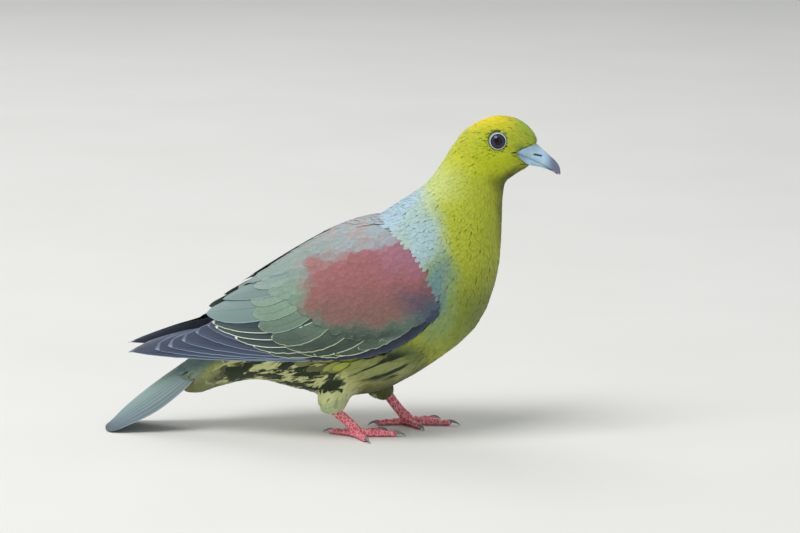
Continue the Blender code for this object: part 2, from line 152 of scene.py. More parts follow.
def spread(points: Array, spacing: Array) -> Array:
    """Pick points that keep their spacing from each other.

    Args:
        points: candidates, in the order in which they are tried.
        spacing: the room that each needs.

    Returns:
        Indices of the picked points.
    """
    cell = float(spacing.max())
    cells: dict[tuple[int, int, int], list[int]] = {}
    keys = np.floor(points / cell).astype(int).tolist()
    places, rooms = points.tolist(), spacing.tolist()
    around = [(i, j, k) for i in (-1, 0, 1) for j in (-1, 0, 1) for k in (-1, 0, 1)]
    picked = []
    for index, (here, (a, b, c)) in enumerate(zip(places, keys)):
        close = (cells.get((a + i, b + j, c + k), ()) for i, j, k in around)
        if all(math.dist(places[n], here) >= rooms[index] for found in close for n in found):
            cells.setdefault((a, b, c), []).append(index)
            picked.append(index)
    return np.array(picked, int)


# ---- meshes


def node_tree(*names: str) -> BVHTree:
    """A search tree over faces of the frame.

    Args:
        names: the nodes.

    Returns:
        The tree, in millimetres.
    """
    points: list[Vector] = []
    faces: list[tuple[int, ...]] = []
    for name in names:
        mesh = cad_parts[name].data
        first = len(points)
        points += [v.co / MM for v in mesh.vertices]
        faces += [tuple(first + i for i in face.vertices) for face in mesh.polygons]
    return BVHTree.FromPolygons(points, faces)


def nearest(tree: BVHTree, points: Array) -> tuple[Array, Array, Array]:
    """The nearest points of a surface.

    Args:
        tree: the surface.
        points: an array of points of any leading shape.

    Returns:
        The surface points, the normals there and the distances, in the same leading shape.
    """
    found = [tree.find_nearest(p) for p in points.reshape(-1, 3).tolist()]
    place, normal = (np.array([f[i] for f in found]).reshape(points.shape) for i in (0, 1))
    return place, normal, np.array([f[3] for f in found]).reshape(points.shape[:-1])


def mesh_of(name: str, points: Array, faces: Array) -> bpy.types.Mesh:
    """A smooth-shaded mesh.

    Args:
        name: its name.
        points: in millimetres.
        faces: indices of points, as many for each face.

    Returns:
        The mesh.
    """
    mesh = bpy.data.meshes.new(name)
    mesh.vertices.add(len(points))
    mesh.vertices.foreach_set("co", (np.asarray(points, float) * MM).ravel())
    mesh.loops.add(faces.size)
    mesh.loops.foreach_set("vertex_index", faces.ravel())
    mesh.polygons.add(len(faces))
    mesh.polygons.foreach_set("loop_start", np.arange(len(faces)) * faces.shape[1])
    mesh.update(calc_edges=True)
    mesh.shade_smooth()
    return mesh


def mesh_arrays(mesh: bpy.types.Mesh) -> tuple[Array, Array, Array]:
    """The parts of a mesh of four-sided faces.

    Args:
        mesh: the mesh.

    Returns:
        Its points in millimetres, its faces and its edges.
    """
    points = np.zeros(len(mesh.vertices) * 3)
    mesh.vertices.foreach_get("co", points)
    faces = np.zeros(len(mesh.loops), int)
    mesh.loops.foreach_get("vertex_index", faces)
    edges = np.zeros(len(mesh.edges) * 2, int)
    mesh.edges.foreach_get("vertices", edges)
    return points.reshape(-1, 3) / MM, faces.reshape(-1, 4), edges.reshape(-1, 2)


def point_normals(mesh: bpy.types.Mesh) -> Array:
    """The normal at each vertex.

    Args:
        mesh: the mesh.

    Returns:
        The normals.
    """
    normals = np.zeros(len(mesh.vertices) * 3)
    mesh.vertex_normals.foreach_get("vector", normals)
    return normals.reshape(-1, 3)


def relaxed(points: Array, edges: Array, rounds: int, share: float = 0.6) -> Array:
    """Points drawn toward the mean of their neighbours.

    Args:
        points: the points.
        edges: pairs of neighbours.
        rounds: how often.
        share: how much of the way in each round.

    Returns:
        The moved points.
    """
    count = np.bincount(edges.ravel(), minlength=len(points))[:, None]
    for _ in range(rounds):
        total = np.zeros_like(points)
        np.add.at(total, edges[:, 0], points[edges[:, 1]])
        np.add.at(total, edges[:, 1], points[edges[:, 0]])
        points = points + share * (total / np.maximum(count, 1) - points)
    return points


def place_piece(
    mesh: bpy.types.Mesh, material: bpy.types.Material, nodes: Iterable[str]
) -> None:
    """Make a mesh a piece of the bird, and report it.

    Args:
        mesh: the finished mesh, whose name becomes the piece's.
        material: its finish.
        nodes: the frame nodes that it stands for.
    """
    piece = bpy.data.objects.new(mesh.name, mesh)
    bpy.context.scene.collection.objects.link(piece)
    mesh.materials.clear()
    mesh.materials.append(material)
    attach(piece, "root")
    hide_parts(*nodes)
    log.info("%s: %d faces", piece.name, len(mesh.polygons))


def quads(grid: Array) -> Array:
    """Four-sided faces over a grid of indices."""
    return np.stack([grid[:-1, :-1], grid[:-1, 1:], grid[1:, 1:], grid[1:, :-1]], -1).reshape(-1, 4)


def ring_faces(rows: int, columns: int) -> Array:
    """Faces over rings of points: rings by points in a ring, the last joined to the first."""
    index = np.arange(rows * columns).reshape(rows, columns)
    return quads(np.concatenate([index, index[:, :1]], axis=1))


def body_of_rings(name: str, rings: Array) -> bpy.types.Mesh:
    """A closed smooth mesh over rings of points, with a face on either end.

    Args:
        name: the mesh's name.
        rings: points, as rings by points in a ring by 3.

    Returns:
        The mesh.
    """
    rows, size = rings.shape[:2]
    shape = bmesh.new()
    points = [shape.verts.new(p) for p in (rings.reshape(-1, 3) * MM).tolist()]
    for face in ring_faces(rows, size).tolist():
        shape.faces.new([points[i] for i in face])
    shape.faces.new(points[:size][::-1])
    shape.faces.new(points[-size:])
    bmesh.ops.recalc_face_normals(shape, faces=shape.faces)
    return mesh_from(name, shape)


def mesh_from(name: str, shape: bmesh.types.BMesh) -> bpy.types.Mesh:
    """A smooth-shaded mesh from a shape, which is used up.

    Args:
        name: the mesh's name.
        shape: what it holds.

    Returns:
        The mesh.
    """
    mesh = bpy.data.meshes.new(name)
    shape.to_mesh(mesh)
    shape.free()
    mesh.shade_smooth()
    return mesh


def merged(name: str, meshes: Sequence[bpy.types.Mesh]) -> bpy.types.Mesh:
    """One mesh that holds several side by side.

    Args:
        name: its name.
        meshes: what it holds.

    Returns:
        The mesh.
    """
    shape = bmesh.new()
    for mesh in meshes:
        shape.from_mesh(mesh)
    return mesh_from(name, shape)


def fused(name: str, source: bpy.types.Mesh, voxel: float) -> bpy.types.Mesh:
    """Overlapping closed shapes made into one even surface of small faces.

    Args:
        name: the new mesh's name.
        source: closed shapes that overlap.
        voxel: the size of its faces.

    Returns:
        The fused mesh, its largest piece only.
    """
    holder = bpy.data.objects.new(name + "_source", source)
    bpy.context.scene.collection.objects.link(holder)
    remesh = holder.modifiers.new("fuse", "REMESH")
    remesh.mode = "VOXEL"
    remesh.voxel_size = voxel * MM
    graph = bpy.context.evaluated_depsgraph_get()
    whole = bpy.data.meshes.new_from_object(holder.evaluated_get(graph))
    bpy.data.objects.remove(holder)
    points, faces, edges = mesh_arrays(whole)
    label = np.arange(len(points))
    while True:
        low = label.copy()
        np.minimum.at(low, edges[:, 0], label[edges[:, 1]])
        np.minimum.at(low, edges[:, 1], label[edges[:, 0]])
        low = low[low]
        if (low == label).all():
            break
        label = low
    main_piece = np.bincount(label).argmax()
    kept = faces[label[faces[:, 0]] == main_piece]
    used, flat = np.unique(kept, return_inverse=True)
    return mesh_of(name, points[used], flat.reshape(-1, 4))


# ---- materials


def tint(*shares: float) -> Colour:
    """A colour in linear light from its display values of 0 to 255."""
    values = [c / 255 for c in shares]
    return tuple(c / 12.92 if c <= 0.04045 else ((c + 0.055) / 1.055) ** 2.4 for c in values)


class Wire:
    """A value in a material's nodes. Arithmetic on it adds Math nodes."""

    def __init__(self, dresser: "Dresser", socket: bpy.types.NodeSocket) -> None:
        """Wrap an output socket of one of the dresser's nodes."""
        self.dresser = dresser
        self.socket = socket

    def __add__(self, other: Any) -> "Wire":
        """The sum."""
        return self.dresser.math("ADD", self, other)

    def __sub__(self, other: Any) -> "Wire":
        """The difference."""
        return self.dresser.math("SUBTRACT", self, other)

    def __rsub__(self, other: Any) -> "Wire":
        """The difference from a plain number."""
        return self.dresser.math("SUBTRACT", other, self)

    def __mul__(self, other: Any) -> "Wire":
        """The product."""
        return self.dresser.math("MULTIPLY", self, other)

    def __truediv__(self, other: Any) -> "Wire":
        """The quotient."""
        return self.dresser.math("DIVIDE", self, other)

    def __pow__(self, other: Any) -> "Wire":
        """The power."""
        return self.dresser.math("POWER", self, other)

    __radd__ = __add__
    __rmul__ = __mul__


class Dresser:
    """Builds one material's nodes around its Principled shader."""

    def __init__(self, name: str, **constants: Any) -> None:
        """Start a material.

        Args:
            name: the material's name.
            constants: shader sockets that stay the same all over, with _ for a space.
        """
        self.material = bpy.data.materials.new(name)
        self.material.use_nodes = True
        self.tree = self.material.node_tree
        self.shader = self.tree.nodes["Principled BSDF"]
        for key, value in constants.items():
            self.shader.inputs[key.replace("_", " ")].default_value = value

    def node(self, kind: str, settings: dict, inputs: dict, output: Any = 0) -> Wire:
        """Add a node.

        Args:
            kind: the node's type.
            settings: its properties, set first.
            inputs: values or wires of its input sockets, by index or name.
            output: which output to return.

        Returns:
            The chosen output.
        """
        made = self.tree.nodes.new(kind)
        for key, value in settings.items():
            setattr(made, key, value)
        for key, value in inputs.items():
            self.plug(made.inputs[key], value)
        return Wire(self, made.outputs[output])

    def plug(self, socket: bpy.types.NodeSocket, value: Any) -> None:
        """Feed a socket.

        Args:
            socket: an input.
            value: a wire, a number, a vector or a colour.
        """
        if isinstance(value, Wire):
            self.tree.links.new(value.socket, socket)
        elif isinstance(value, tuple) and socket.type == "RGBA":
            socket.default_value = (*value, 1.0)
        else:
            socket.default_value = value

    def math(self, operation: str, *values: Any) -> Wire:
        """A Math node on wires and numbers."""
        return self.node("ShaderNodeMath", {"operation": operation}, dict(enumerate(values)))

    def vector_math(self, operation: str, *values: Any, output: Any = 0) -> Wire:
        """A Vector Math node on wires and vectors."""
        settings = {"operation": operation}
        return self.node("ShaderNodeVectorMath", settings, dict(enumerate(values)), output)

    def ramp(self, value: Any, low: float, high: float) -> Wire:
        """A smooth step, which falls where `low` is the larger limit.

        Args:
            value: what is read.
            low: where the step is 0.
            high: where it is 1.

        Returns:
            The step.
        """
        flip = low > high
        ends = {1: high, 2: low, 3: 1.0, 4: 0.0} if flip else {1: low, 2: high, 3: 0.0, 4: 1.0}
        settings = {"interpolation_type": "SMOOTHSTEP"}
        return self.node("ShaderNodeMapRange", settings, {0: value, **ends})

    def mix(self, share: Any, below: Any, above: Any) -> Wire:
        """A colour `share` of the way from one to another."""
        settings = {"data_type": "RGBA"}
        return self.node("ShaderNodeMix", settings, {0: share, 6: below, 7: above}, 2)

    def midway(self, one: Wire, other: Wire) -> Wire:
        """The vector half way between two."""
        settings = {"data_type": "VECTOR"}
        return self.node("ShaderNodeMix", settings, {0: 0.5, 4: one, 5: other}, 1)

    def scaled(self, colour: Any, factor: Any) -> Wire:
        """A colour multiplied by a number."""
        settings = {"operation": "SCALE"}
        return self.node("ShaderNodeVectorMath", settings, {0: colour, "Scale": factor})

    def noise(self, where: Wire, scale: float, detail: float = 2.0, output: str = "Fac") -> Wire:
        """Fractal noise over a vector in metres, `scale` in features per metre."""
        inputs = {"Vector": where, "Scale": scale, "Detail": detail}
        return self.node("ShaderNodeTexNoise", {}, inputs, output)

    def field(self, name: str) -> Wire:
        """A vector that the mesh stores for each point."""
        return self.node("ShaderNodeAttribute", {"attribute_name": name}, {}, "Vector")

    def split(self, vector: Wire) -> tuple[Wire, Wire, Wire]:
        """The three parts of a vector."""
        outputs = self.node("ShaderNodeSeparateXYZ", {}, {0: vector}).socket.node.outputs
        return tuple(Wire(self, outputs[i]) for i in range(3))

    def place(self) -> Wire:
        """The point of the surface, in metres in the bird's frame."""
        return self.node("ShaderNodeTexCoord", {}, {}, "Object")

    def joined(self, x: Any, y: Any, z: Any) -> Wire:
        """A vector of three parts."""
        return self.node("ShaderNodeCombineXYZ", {}, {0: x, 1: y, 2: z})

    def folded(self, vector: Wire) -> Wire:
        """A position with the sign taken off its Y, so that both sides are marked alike."""
        x, y, z = self.split(vector)
        return self.joined(x, self.math("ABSOLUTE", y), z)

    def wavered(self, place: Wire, scale: float, reach: float) -> Wire:
        """A folded position that wanders, so that no marking has a hard outline.

        Args:
            place: the position, in metres.
            scale: waves to a metre.
            reach: how far it wanders from end to end, in metres.

        Returns:
            The position, with the sign taken off its Y.
        """
        warp = self.noise(place, scale, 3.0, "Color")
        shift = self.vector_math("MULTIPLY_ADD", warp, (reach,) * 3, (-reach / 2,) * 3)
        return self.folded(self.vector_math("ADD", place, shift))

    def from_line(self, middle: Array, ahead: Array) -> Wire:
        """How far the surface is from a line.

        Args:
            middle: a point of the line.
            ahead: its direction.

        Returns:
            The distance in millimetres.
        """
        off = self.vector_math("SUBTRACT", self.place(), tuple(float(c) * MM for c in middle))
        depth = self.vector_math("DOT_PRODUCT", off, tuple(float(c) for c in ahead), output="Value")
        size = self.vector_math("LENGTH", off, output="Value")
        return self.math("SQRT", size * size - depth * depth) / MM

    def barbs(self, v: Wire, aside: Wire, slant: float, count: float) -> Wire:
        """Fine ridges, `count` of them over half a vane, which slant from its shaft to its tip."""
        return self.math("SINE", (v * slant - aside) * (count * 2 * math.pi))

    def dress(self, colour: Any, roughness: Any, normal: Wire | None = None) -> None:
        """Feed the shader.

        Args:
            colour: its base colour.
            roughness: its roughness.
            normal: its normal, if that isn't the mesh's own.
        """
        inputs = {"Base Color": colour, "Roughness": roughness, "Normal": normal}
        for key, value in inputs.items():
            if value is not None:
                self.plug(self.shader.inputs[key], value)

    def bump(self, height: Wire, strength: float, distance: float) -> Wire:
        """A normal that follows a height, `distance` in millimetres for a height of one."""
        inputs = {"Height": height, "Strength": strength, "Distance": distance * MM}
        return self.node("ShaderNodeBump", {}, inputs)


# ---- lie of the feathers


@dataclass(frozen=True)
class Comb:
    """A place inside the body, the way that feathers around it point and its pull on them."""

    place: Point
    lie: Point
    pull: float = 6.0


@dataclass(frozen=True)
class Lie:
    """The way that feathers lie on the body, and the unwrap of the body along its axis."""

    axis: tuple[Spot, ...] = (
        (114.0, 157.0), (104.0, 161.0), (95.0, 161.0), (87.0, 157.0),  # head
        (82.0, 150.0), (79.0, 140.0), (77.0, 128.0), (72.0, 112.0),  # neck
        (62.0, 96.0), (45.0, 84.0), (25.0, 76.0), (0.0, 66.0),  # body
        (-25.0, 57.0), (-50.0, 47.0), (-75.0, 36.0), (-95.0, 26.0),  # rump
    )
    thighs: tuple[Comb, ...] = (
        Comb((8.0, -13.0, 40.0), (-0.4, -0.2, -0.9), 3.0),
        Comb((4.0, -16.0, 30.0), (-0.3, -0.1, -1.0)),
        Comb((1.8, -18.4, 20.0), (-0.1, 0.0, -1.0)),
        Comb((18.0, 13.0, 40.0), (-0.2, 0.2, -0.9), 3.0),
        Comb((22.0, 16.0, 30.0), (0.1, 0.1, -1.0)),
        Comb((28.0, 18.4, 20.0), (0.2, 0.0, -1.0)),
    )
    flanks: tuple[Comb, ...] = (  # of the left side
        Comb((42.0, 26.0, 47.0), (-0.92, 0.0, -0.4), 3.0),
        Comb((22.0, 27.0, 42.0), (-0.9, 0.0, -0.42), 3.0),
        Comb((-6.0, 25.0, 40.0), (-0.93, 0.0, -0.35), 3.0),
        Comb((-28.0, 21.0, 38.0), (-0.95, 0.0, -0.3), 3.0),
    )
    blend: float = 4.0  # how softly one stretch of the axis takes over from the next
    softness: float = 30.0  # how softly one comb takes over from the next
    gain: float = 1e4  # keeps the sum of distant pulls from growing tiny
    eye: Point = (94.2, 14.0, 167.6)
    eye_reach: float = 4.85
    eye_fade: float = 4.5  # how far round the eye feathers turn away from it
    eye_turn: float = 1.5
    cheek: float = 5.0  # nearer the middle than this nothing belongs to an eye
    border: float = 0.02  # of the unwrap's square

    def _path(self) -> Array:
        """The axis as points."""
        return np.array([(x, 0.0, z) for x, z in self.axis])

    def _combs(self) -> list[tuple[Array, Array, float]]:
        """The place, the lie and the pull of every comb, those of the axis first."""
        path = self._path()
        combs = [(p, t, 1.0) for p, t in zip(path, unit(np.gradient(path, axis=0)))]
        combs += [(np.array(c.place), unit(np.array(c.lie)), c.pull) for c in self.thighs]
        for side in Side:
            combs += [(side.mirror(c.place), unit(np.array(c.lie)), c.pull) for c in self.flanks]
        return combs

    def along(self, points: Array) -> Array:
        """How far down the body points lie.

        Args:
            points: the points.

        Returns:
            Shares from 0 at the bill to 1 at the tail.
        """
        path = self._path()
        reach = run_of(path)
        gap = np.linalg.norm(points[:, None] - path[None], axis=2)
        weight = 1 / (gap**2 + self.blend) ** 3
        return (weight * reach).sum(1) / weight.sum(1) / reach[-1]

    def beside_eye(self, points: Array, side: Side) -> tuple[Array, Array]:
        """Where points are about an eye, seen from the side.

        Args:
            points: the points.
            side: the eye's side.

        Returns:
            Distances from the eye, and which points are on its side of the head.
        """
        eye = side.mirror(self.eye)
        off = np.hypot(points[:, 0] - eye[0], points[:, 2] - eye[2])
        return off, points[:, 1] * side.sign > self.cheek

    def directions(self, points: Array, normals: Array) -> Array:
        """Unit vectors along which feathers rooted at the points lie.

        Args:
            points: roots.
            normals: the skin's normals there.

        Returns:
            One vector along the skin for each point.
        """
        total = np.zeros_like(points)
        for place, lie, pull in self._combs():
            gap = ((points - place) ** 2).sum(1, keepdims=True)
            total += pull * lie / (gap + self.softness) ** 2 * self.gain
        total = unit(total)
        for side in Side:
            out = points - side.mirror(self.eye)
            gap = np.linalg.norm(out, axis=1, keepdims=True)
            near = 1 - ease(gap, self.eye_reach, self.eye_reach + self.eye_fade)
            total = total + self.eye_turn * near * unit(out)
        across = (total * normals).sum(1, keepdims=True)
        return unit(total - across * normals)

    def unwrapped(self, points: Array) -> Array:
        """Places of points on a flat unwrap: down the axis, and around it.

        Args:
            points: the points.

        Returns:
            Two numbers for each, in the unit square.
        """
        path = self._path()
        reach = self.along(points)
        share = np.linspace(0.0, 1.0, 200)
        run = run_of(path)
        centre = read_rows(share, run / run[-1], path)
        ahead = read_rows(reach, share, unit(np.gradient(centre, axis=0)))
        up = np.stack([-ahead[:, 2], np.zeros(len(points)), ahead[:, 0]], axis=1)
        off = points - read_rows(reach, share, centre)
        angle = np.arctan2(off[:, 1], -(off * up).sum(1)) / (2 * math.pi) + 0.5
        return self.border + (1 - 2 * self.border) * np.stack([reach, angle], axis=1)


# ---- skin


@dataclass(frozen=True)
class Face:
    """The line where the feathers of the face end and the bare bill begins, seen from the side."""

    culmen: Spot = (115.9, 165.0)
    gape: Spot = (104.6, 161.0)
    chin: Spot = (113.0, 152.7)
    arch: float = 1.0  # how far either line bows toward the feathers
    fade: tuple[float, float] = (-0.2, 1.2)  # from feathers to bare skin, before the line

    def bare(self, points: Array) -> Array:
        """How bare the face is.

        Args:
            points: places on it.

        Returns:
            Shares from 0 under feathers to 1 under the bill.
        """
        x, z = points[:, 0], points[:, 2]
        above = self._ahead(x, z, self.gape, self.culmen)
        below = self._ahead(x, z, self.chin, self.gape)
        return ease(np.minimum(above, below) + self.bow(x, self.culmen), *self.fade)

    def bow(self, x: Array, end: Spot) -> Array:
        """How far the line from the gape to an end bows at each x."""
        share = np.clip((x - self.gape[0]) / (end[0] - self.gape[0]), 0.0, 1.0)
        return self.arch * 4 * share * (1 - share)

    @staticmethod
    def _ahead(x: Array, z: Array, low: Spot, high: Spot) -> Array:
        """Distance of points in front of a line that runs up from one place to another."""
        run, rise = high[0] - low[0], high[1] - low[1]
        return ((x - low[0]) * rise - (z - low[1]) * run) / math.hypot(run, rise)


@dataclass
class Skin:
    """The one skin under the whole coat, with its eye sockets and its bare place at the bill."""

    lie: Lie
    face: Face
    voxel: float = 1.25
    grow: float = 0.45  # closes the gaps that part the frame's nodes
    weld: float = 0.01
    wing_end: float = -54.0  # behind this the wings are feathers only
    depth_places: tuple[float, ...] = (0.0, 0.06, 0.14, 0.28, 0.42, 1.0)
    depths: tuple[float, ...] = (0.6, 0.8, 1.0, 1.7, 2.1, 2.1)
    shank_heights: tuple[float, float] = (13.0, 26.0)
    shank_depth: float = 0.9
    socket: float = 5.5
    socket_depth: float = 1.1
    smoothing: int = 9
    swells: tuple[tuple[Point, float], ...] = (  # a place and how far the skin moves out there
        ((72.5, 0.0, 166.0), 1.2),
        ((62.0, 0.0, 154.0), -0.8),
    )
    swell_reach: float = 14.0
    swell_shape: Point = (1.0, 0.6, 1.0)
    pinch: float = 0.3  # how much narrower the face is under the bill
    retreat: float = 1.4  # and how far it lies behind
    lowest: float = 6.0

    def depth_at(self, points: Array) -> Array:
        """How deep the coat is.

        Args:
            points: places on the skin.

        Returns:
            A depth for each.
        """
        body = np.interp(self.lie.along(points), self.depth_places, self.depths)
        shank = 1 - ease(points[:, 2], *self.shank_heights)
        return body * (1 - shank) + self.shank_depth * shank

    def _flesh(self) -> bpy.types.Mesh:
        """Copies of the fleshy nodes, each grown enough to meet the next."""
        parts = []
        for name in FLESH + WINGS:
            piece = bmesh.new()
            piece.from_mesh(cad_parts[name].data)
            bmesh.ops.remove_doubles(piece, verts=piece.verts, dist=self.weld * MM)
            if name in WINGS:
                bmesh.ops.bisect_plane(
                    piece,
                    geom=piece.verts[:] + piece.edges[:] + piece.faces[:],
                    plane_co=(self.wing_end * MM, 0, 0),
                    plane_no=(-1, 0, 0),
                    clear_outer=True,
                )
                bmesh.ops.holes_fill(piece, edges=[e for e in piece.edges if e.is_boundary])
            bmesh.ops.recalc_face_normals(piece, faces=piece.faces)
            piece.normal_update()
            for vertex in piece.verts:
                vertex.co += vertex.normal * self.grow * MM
            parts.append(mesh_from(name + "_flesh", piece))
        return merged("flesh", parts)

    def build(self) -> bpy.types.Mesh:
        """Make the skin's mesh.

        Returns:
            A closed mesh that lies inside the frame's nodes by the depth of the coat.
        """
        mesh = fused("skin_shell", self._flesh(), self.voxel)
        points, faces, edges = mesh_arrays(mesh)
        points = relaxed(points, edges, self.smoothing)
        points = points - point_normals(mesh) * (self.depth_at(points) + self.grow)[:, None]
        points = relaxed(points, edges, 2)
        normals = point_normals(mesh)
        for place, out in self.swells:
            off = np.linalg.norm((points - np.array(place)) * self.swell_shape, axis=1)
            points = points + normals * (out * (1 - ease(off, 0.0, self.swell_reach)))[:, None]
        for side in Side:
            off, here = self.lie.beside_eye(points, side)
            near = (1 - ease(off, self.socket * 0.6, self.socket)) * here
            points[:, 1] -= side.sign * near * self.socket_depth
        bare = self.face.bare(points)
        points[:, 1] *= 1 - self.pinch * bare
        points[:, 0] -= self.retreat * bare
        points[:, 2] = np.maximum(points[:, 2], self.lowest)
        return mesh_of("skin", points, faces)


# ---- vanes


class Vanes:
    """Thin closed vanes, gathered into one mesh that knows each vane's root and markings.

    Every vane is a lens: a grid of points on top and a shallow belly underneath, which share the
    rim. Its stored place (u, v) runs from -1 to 1 across it and from 0 to 1 along it.
    """

    crowd = 1.35  # draws the rows of points together toward the tip

    def __init__(
        self,
        name: str,
        along: int = 7,
        across: int = 5,
        thickness: float = 0.1,
        soften: float = 0.82,
    ) -> None:
        """Start an empty set.

        Args:
            name: the mesh's name.
            along: points from root to tip.
            across: points from edge to edge.
            thickness: of the vane at its middle.
            soften: share of the shading that follows the body and not the vane.
        """
        self.name, self.thickness, self.soften = name, thickness, soften
        self.v = 1 - (1 - np.linspace(0.0, 1.0, along)) ** self.crowd
        self.u = np.linspace(-1.0, 1.0, across)
        self.parts: list[tuple[Array, ...]] = []

    def add(
        self,
        top: Array,
        outward: Array,
        unwrap: Array,
        patch: float,
        marks: Array,
        hand: float = 1.0,
    ) -> None:
        """Add vanes.

        Args:
            top: points of each vane's upper face, as vanes by `along` by `across` by 3.
            outward: the body's outward direction at each of them.
            unwrap: each root's place on the unwrap of the skin.
            patch: how wide each vane's patch of the unwrap is.
            marks: three numbers for each vane that its finish uses.
            hand: -1 where u runs the other way round on the body.
        """
        if hand < 0:
            top, outward = top[:, :, ::-1], outward[:, :, ::-1]
        count = len(top)
        patches, hands = np.full(count, patch), np.full(count, hand)
        self.parts.append((top, outward, unwrap, patches, marks, hands))

    def _with_belly(self, top: Array, belly: Array) -> Array:
        """What is known of a vane's upper points, followed by the same of its lower ones."""
        count = len(top)
        return np.concatenate([top.reshape(count, -1, 3), belly.reshape(count, -1, 3)], axis=1)

    def _faces(self) -> tuple[Array, int]:
        """One vane's faces, and how many points it has."""
        rows, columns = len(self.v), len(self.u)
        grid = np.arange(rows * columns).reshape(rows, columns)
        under = grid.copy()
        inside = (rows - 2) * (columns - 2)
        under[1:-1, 1:-1] = rows * columns + np.arange(inside).reshape(rows - 2, columns - 2)
        below = quads(under)[:, [2, 1, 0, 3]]  # split as the top is
        return np.concatenate([quads(grid), below]), rows * columns + inside

    def mesh(self, seed: int) -> bpy.types.Mesh:
        """The gathered vanes as one mesh, with its fields, unwrap and shading.

        Args:
            seed: for the draws that let vanes differ.

        Returns:
            The mesh.
        """
        top, outward, unwrap, patch, marks, hand = (np.concatenate(p) for p in zip(*self.parts))
        count, inner = len(top), np.s_[:, 1:-1, 1:-1]
        one, size = self._faces()
        faces = (one[None] + size * np.arange(count)[:, None, None]).reshape(-1, 4)
        round_off = np.sin(math.pi * np.clip(self.v, 0, 1)) ** 0.5
        lens = np.outer(round_off, 1 - self.u**2)[1:-1, 1:-1]
        belly = top[inner] - outward[inner] * (self.thickness * lens)[..., None]
        facing = unit(np.cross(np.gradient(top, axis=2), np.gradient(top, axis=1)))
        facing = unit(facing * (1 - self.soften) + outward * self.soften)

        mesh = mesh_of(self.name, self._with_belly(top, belly).reshape(-1, 3), faces)
        both = np.meshgrid(self.u, self.v)
        u, v = (np.concatenate([w.ravel(), w[1:-1, 1:-1].ravel()]) for w in both)
        chance = np.random.default_rng(seed).random(count)
        across = hand[:, None] * u
        vane = [across, np.broadcast_to(v, across.shape), chance[:, None] + 0 * u]
        roots = top[:, 0, len(self.u) // 2] * MM
        fields = {
            "root": np.repeat(roots, size, axis=0),
            "vane": np.stack(vane, axis=-1).reshape(-1, 3),
            "marks": np.repeat(marks, size, axis=0),
        }
        for key, values in fields.items():
            layer = mesh.attributes.new(key, "FLOAT_VECTOR", "POINT")
            layer.data.foreach_set("vector", np.ascontiguousarray(values, np.float32).ravel())
        place = unwrap[:, None] + patch[:, None, None] * np.stack([u / 2, v - 0.5], axis=-1)
        sheet = mesh.uv_layers.new(name="OFBake")
        sheet.data.foreach_set("uv", place.reshape(-1, 2)[faces.ravel()].astype(np.float32).ravel())
        normals = self._with_belly(facing, -facing[inner]).reshape(-1, 3)
        mesh.normals_split_custom_set_from_vertices(normals.tolist())
        return mesh


def vane_width(v: Array, root: float = 0.5, blunt: float = 0.4) -> Array:
    """The share of a vane's full width at places along it.

    Args:
        v: places along the vane, from 0 to 1.
        root: its share at the root.
        blunt: where it starts to close toward the tip; near 1 is square, near 0 is pointed.

    Returns:
        Shares of the full width.
    """
    opening = root + (1 - root) * ease(v, 0.0, 0.35)
    closing = np.clip((v - blunt) / (1 - blunt), 0.0, 1.0)
    return opening * np.sqrt(np.maximum(1 - closing**2.2, 0.004))


# ---- markings of the body, and painted shade under the head and on the underside


@dataclass(frozen=True)
class Dab:
    """A soft patch of colour about a place on the bird's left side."""

    colour: Colour
    centre: Point
    reach: Point
    fade: float = 0.7

    def mask(self, dresser: Dresser, place: Wire) -> Wire:
        """How strongly the patch colours each place.

        Args:
            dresser: the material's.
            place: the place, in metres.

        Returns:
            A share.
        """
        off = dresser.vector_math("SUBTRACT", place, tuple(c * MM for c in self.centre))
        off = dresser.vector_math("MULTIPLY", off, tuple(1 / (r * MM) for r in self.reach))
        size = dresser.vector_math("LENGTH", off, output="Value")
        return dresser.ramp(size, 1.0, 1.0 - self.fade)


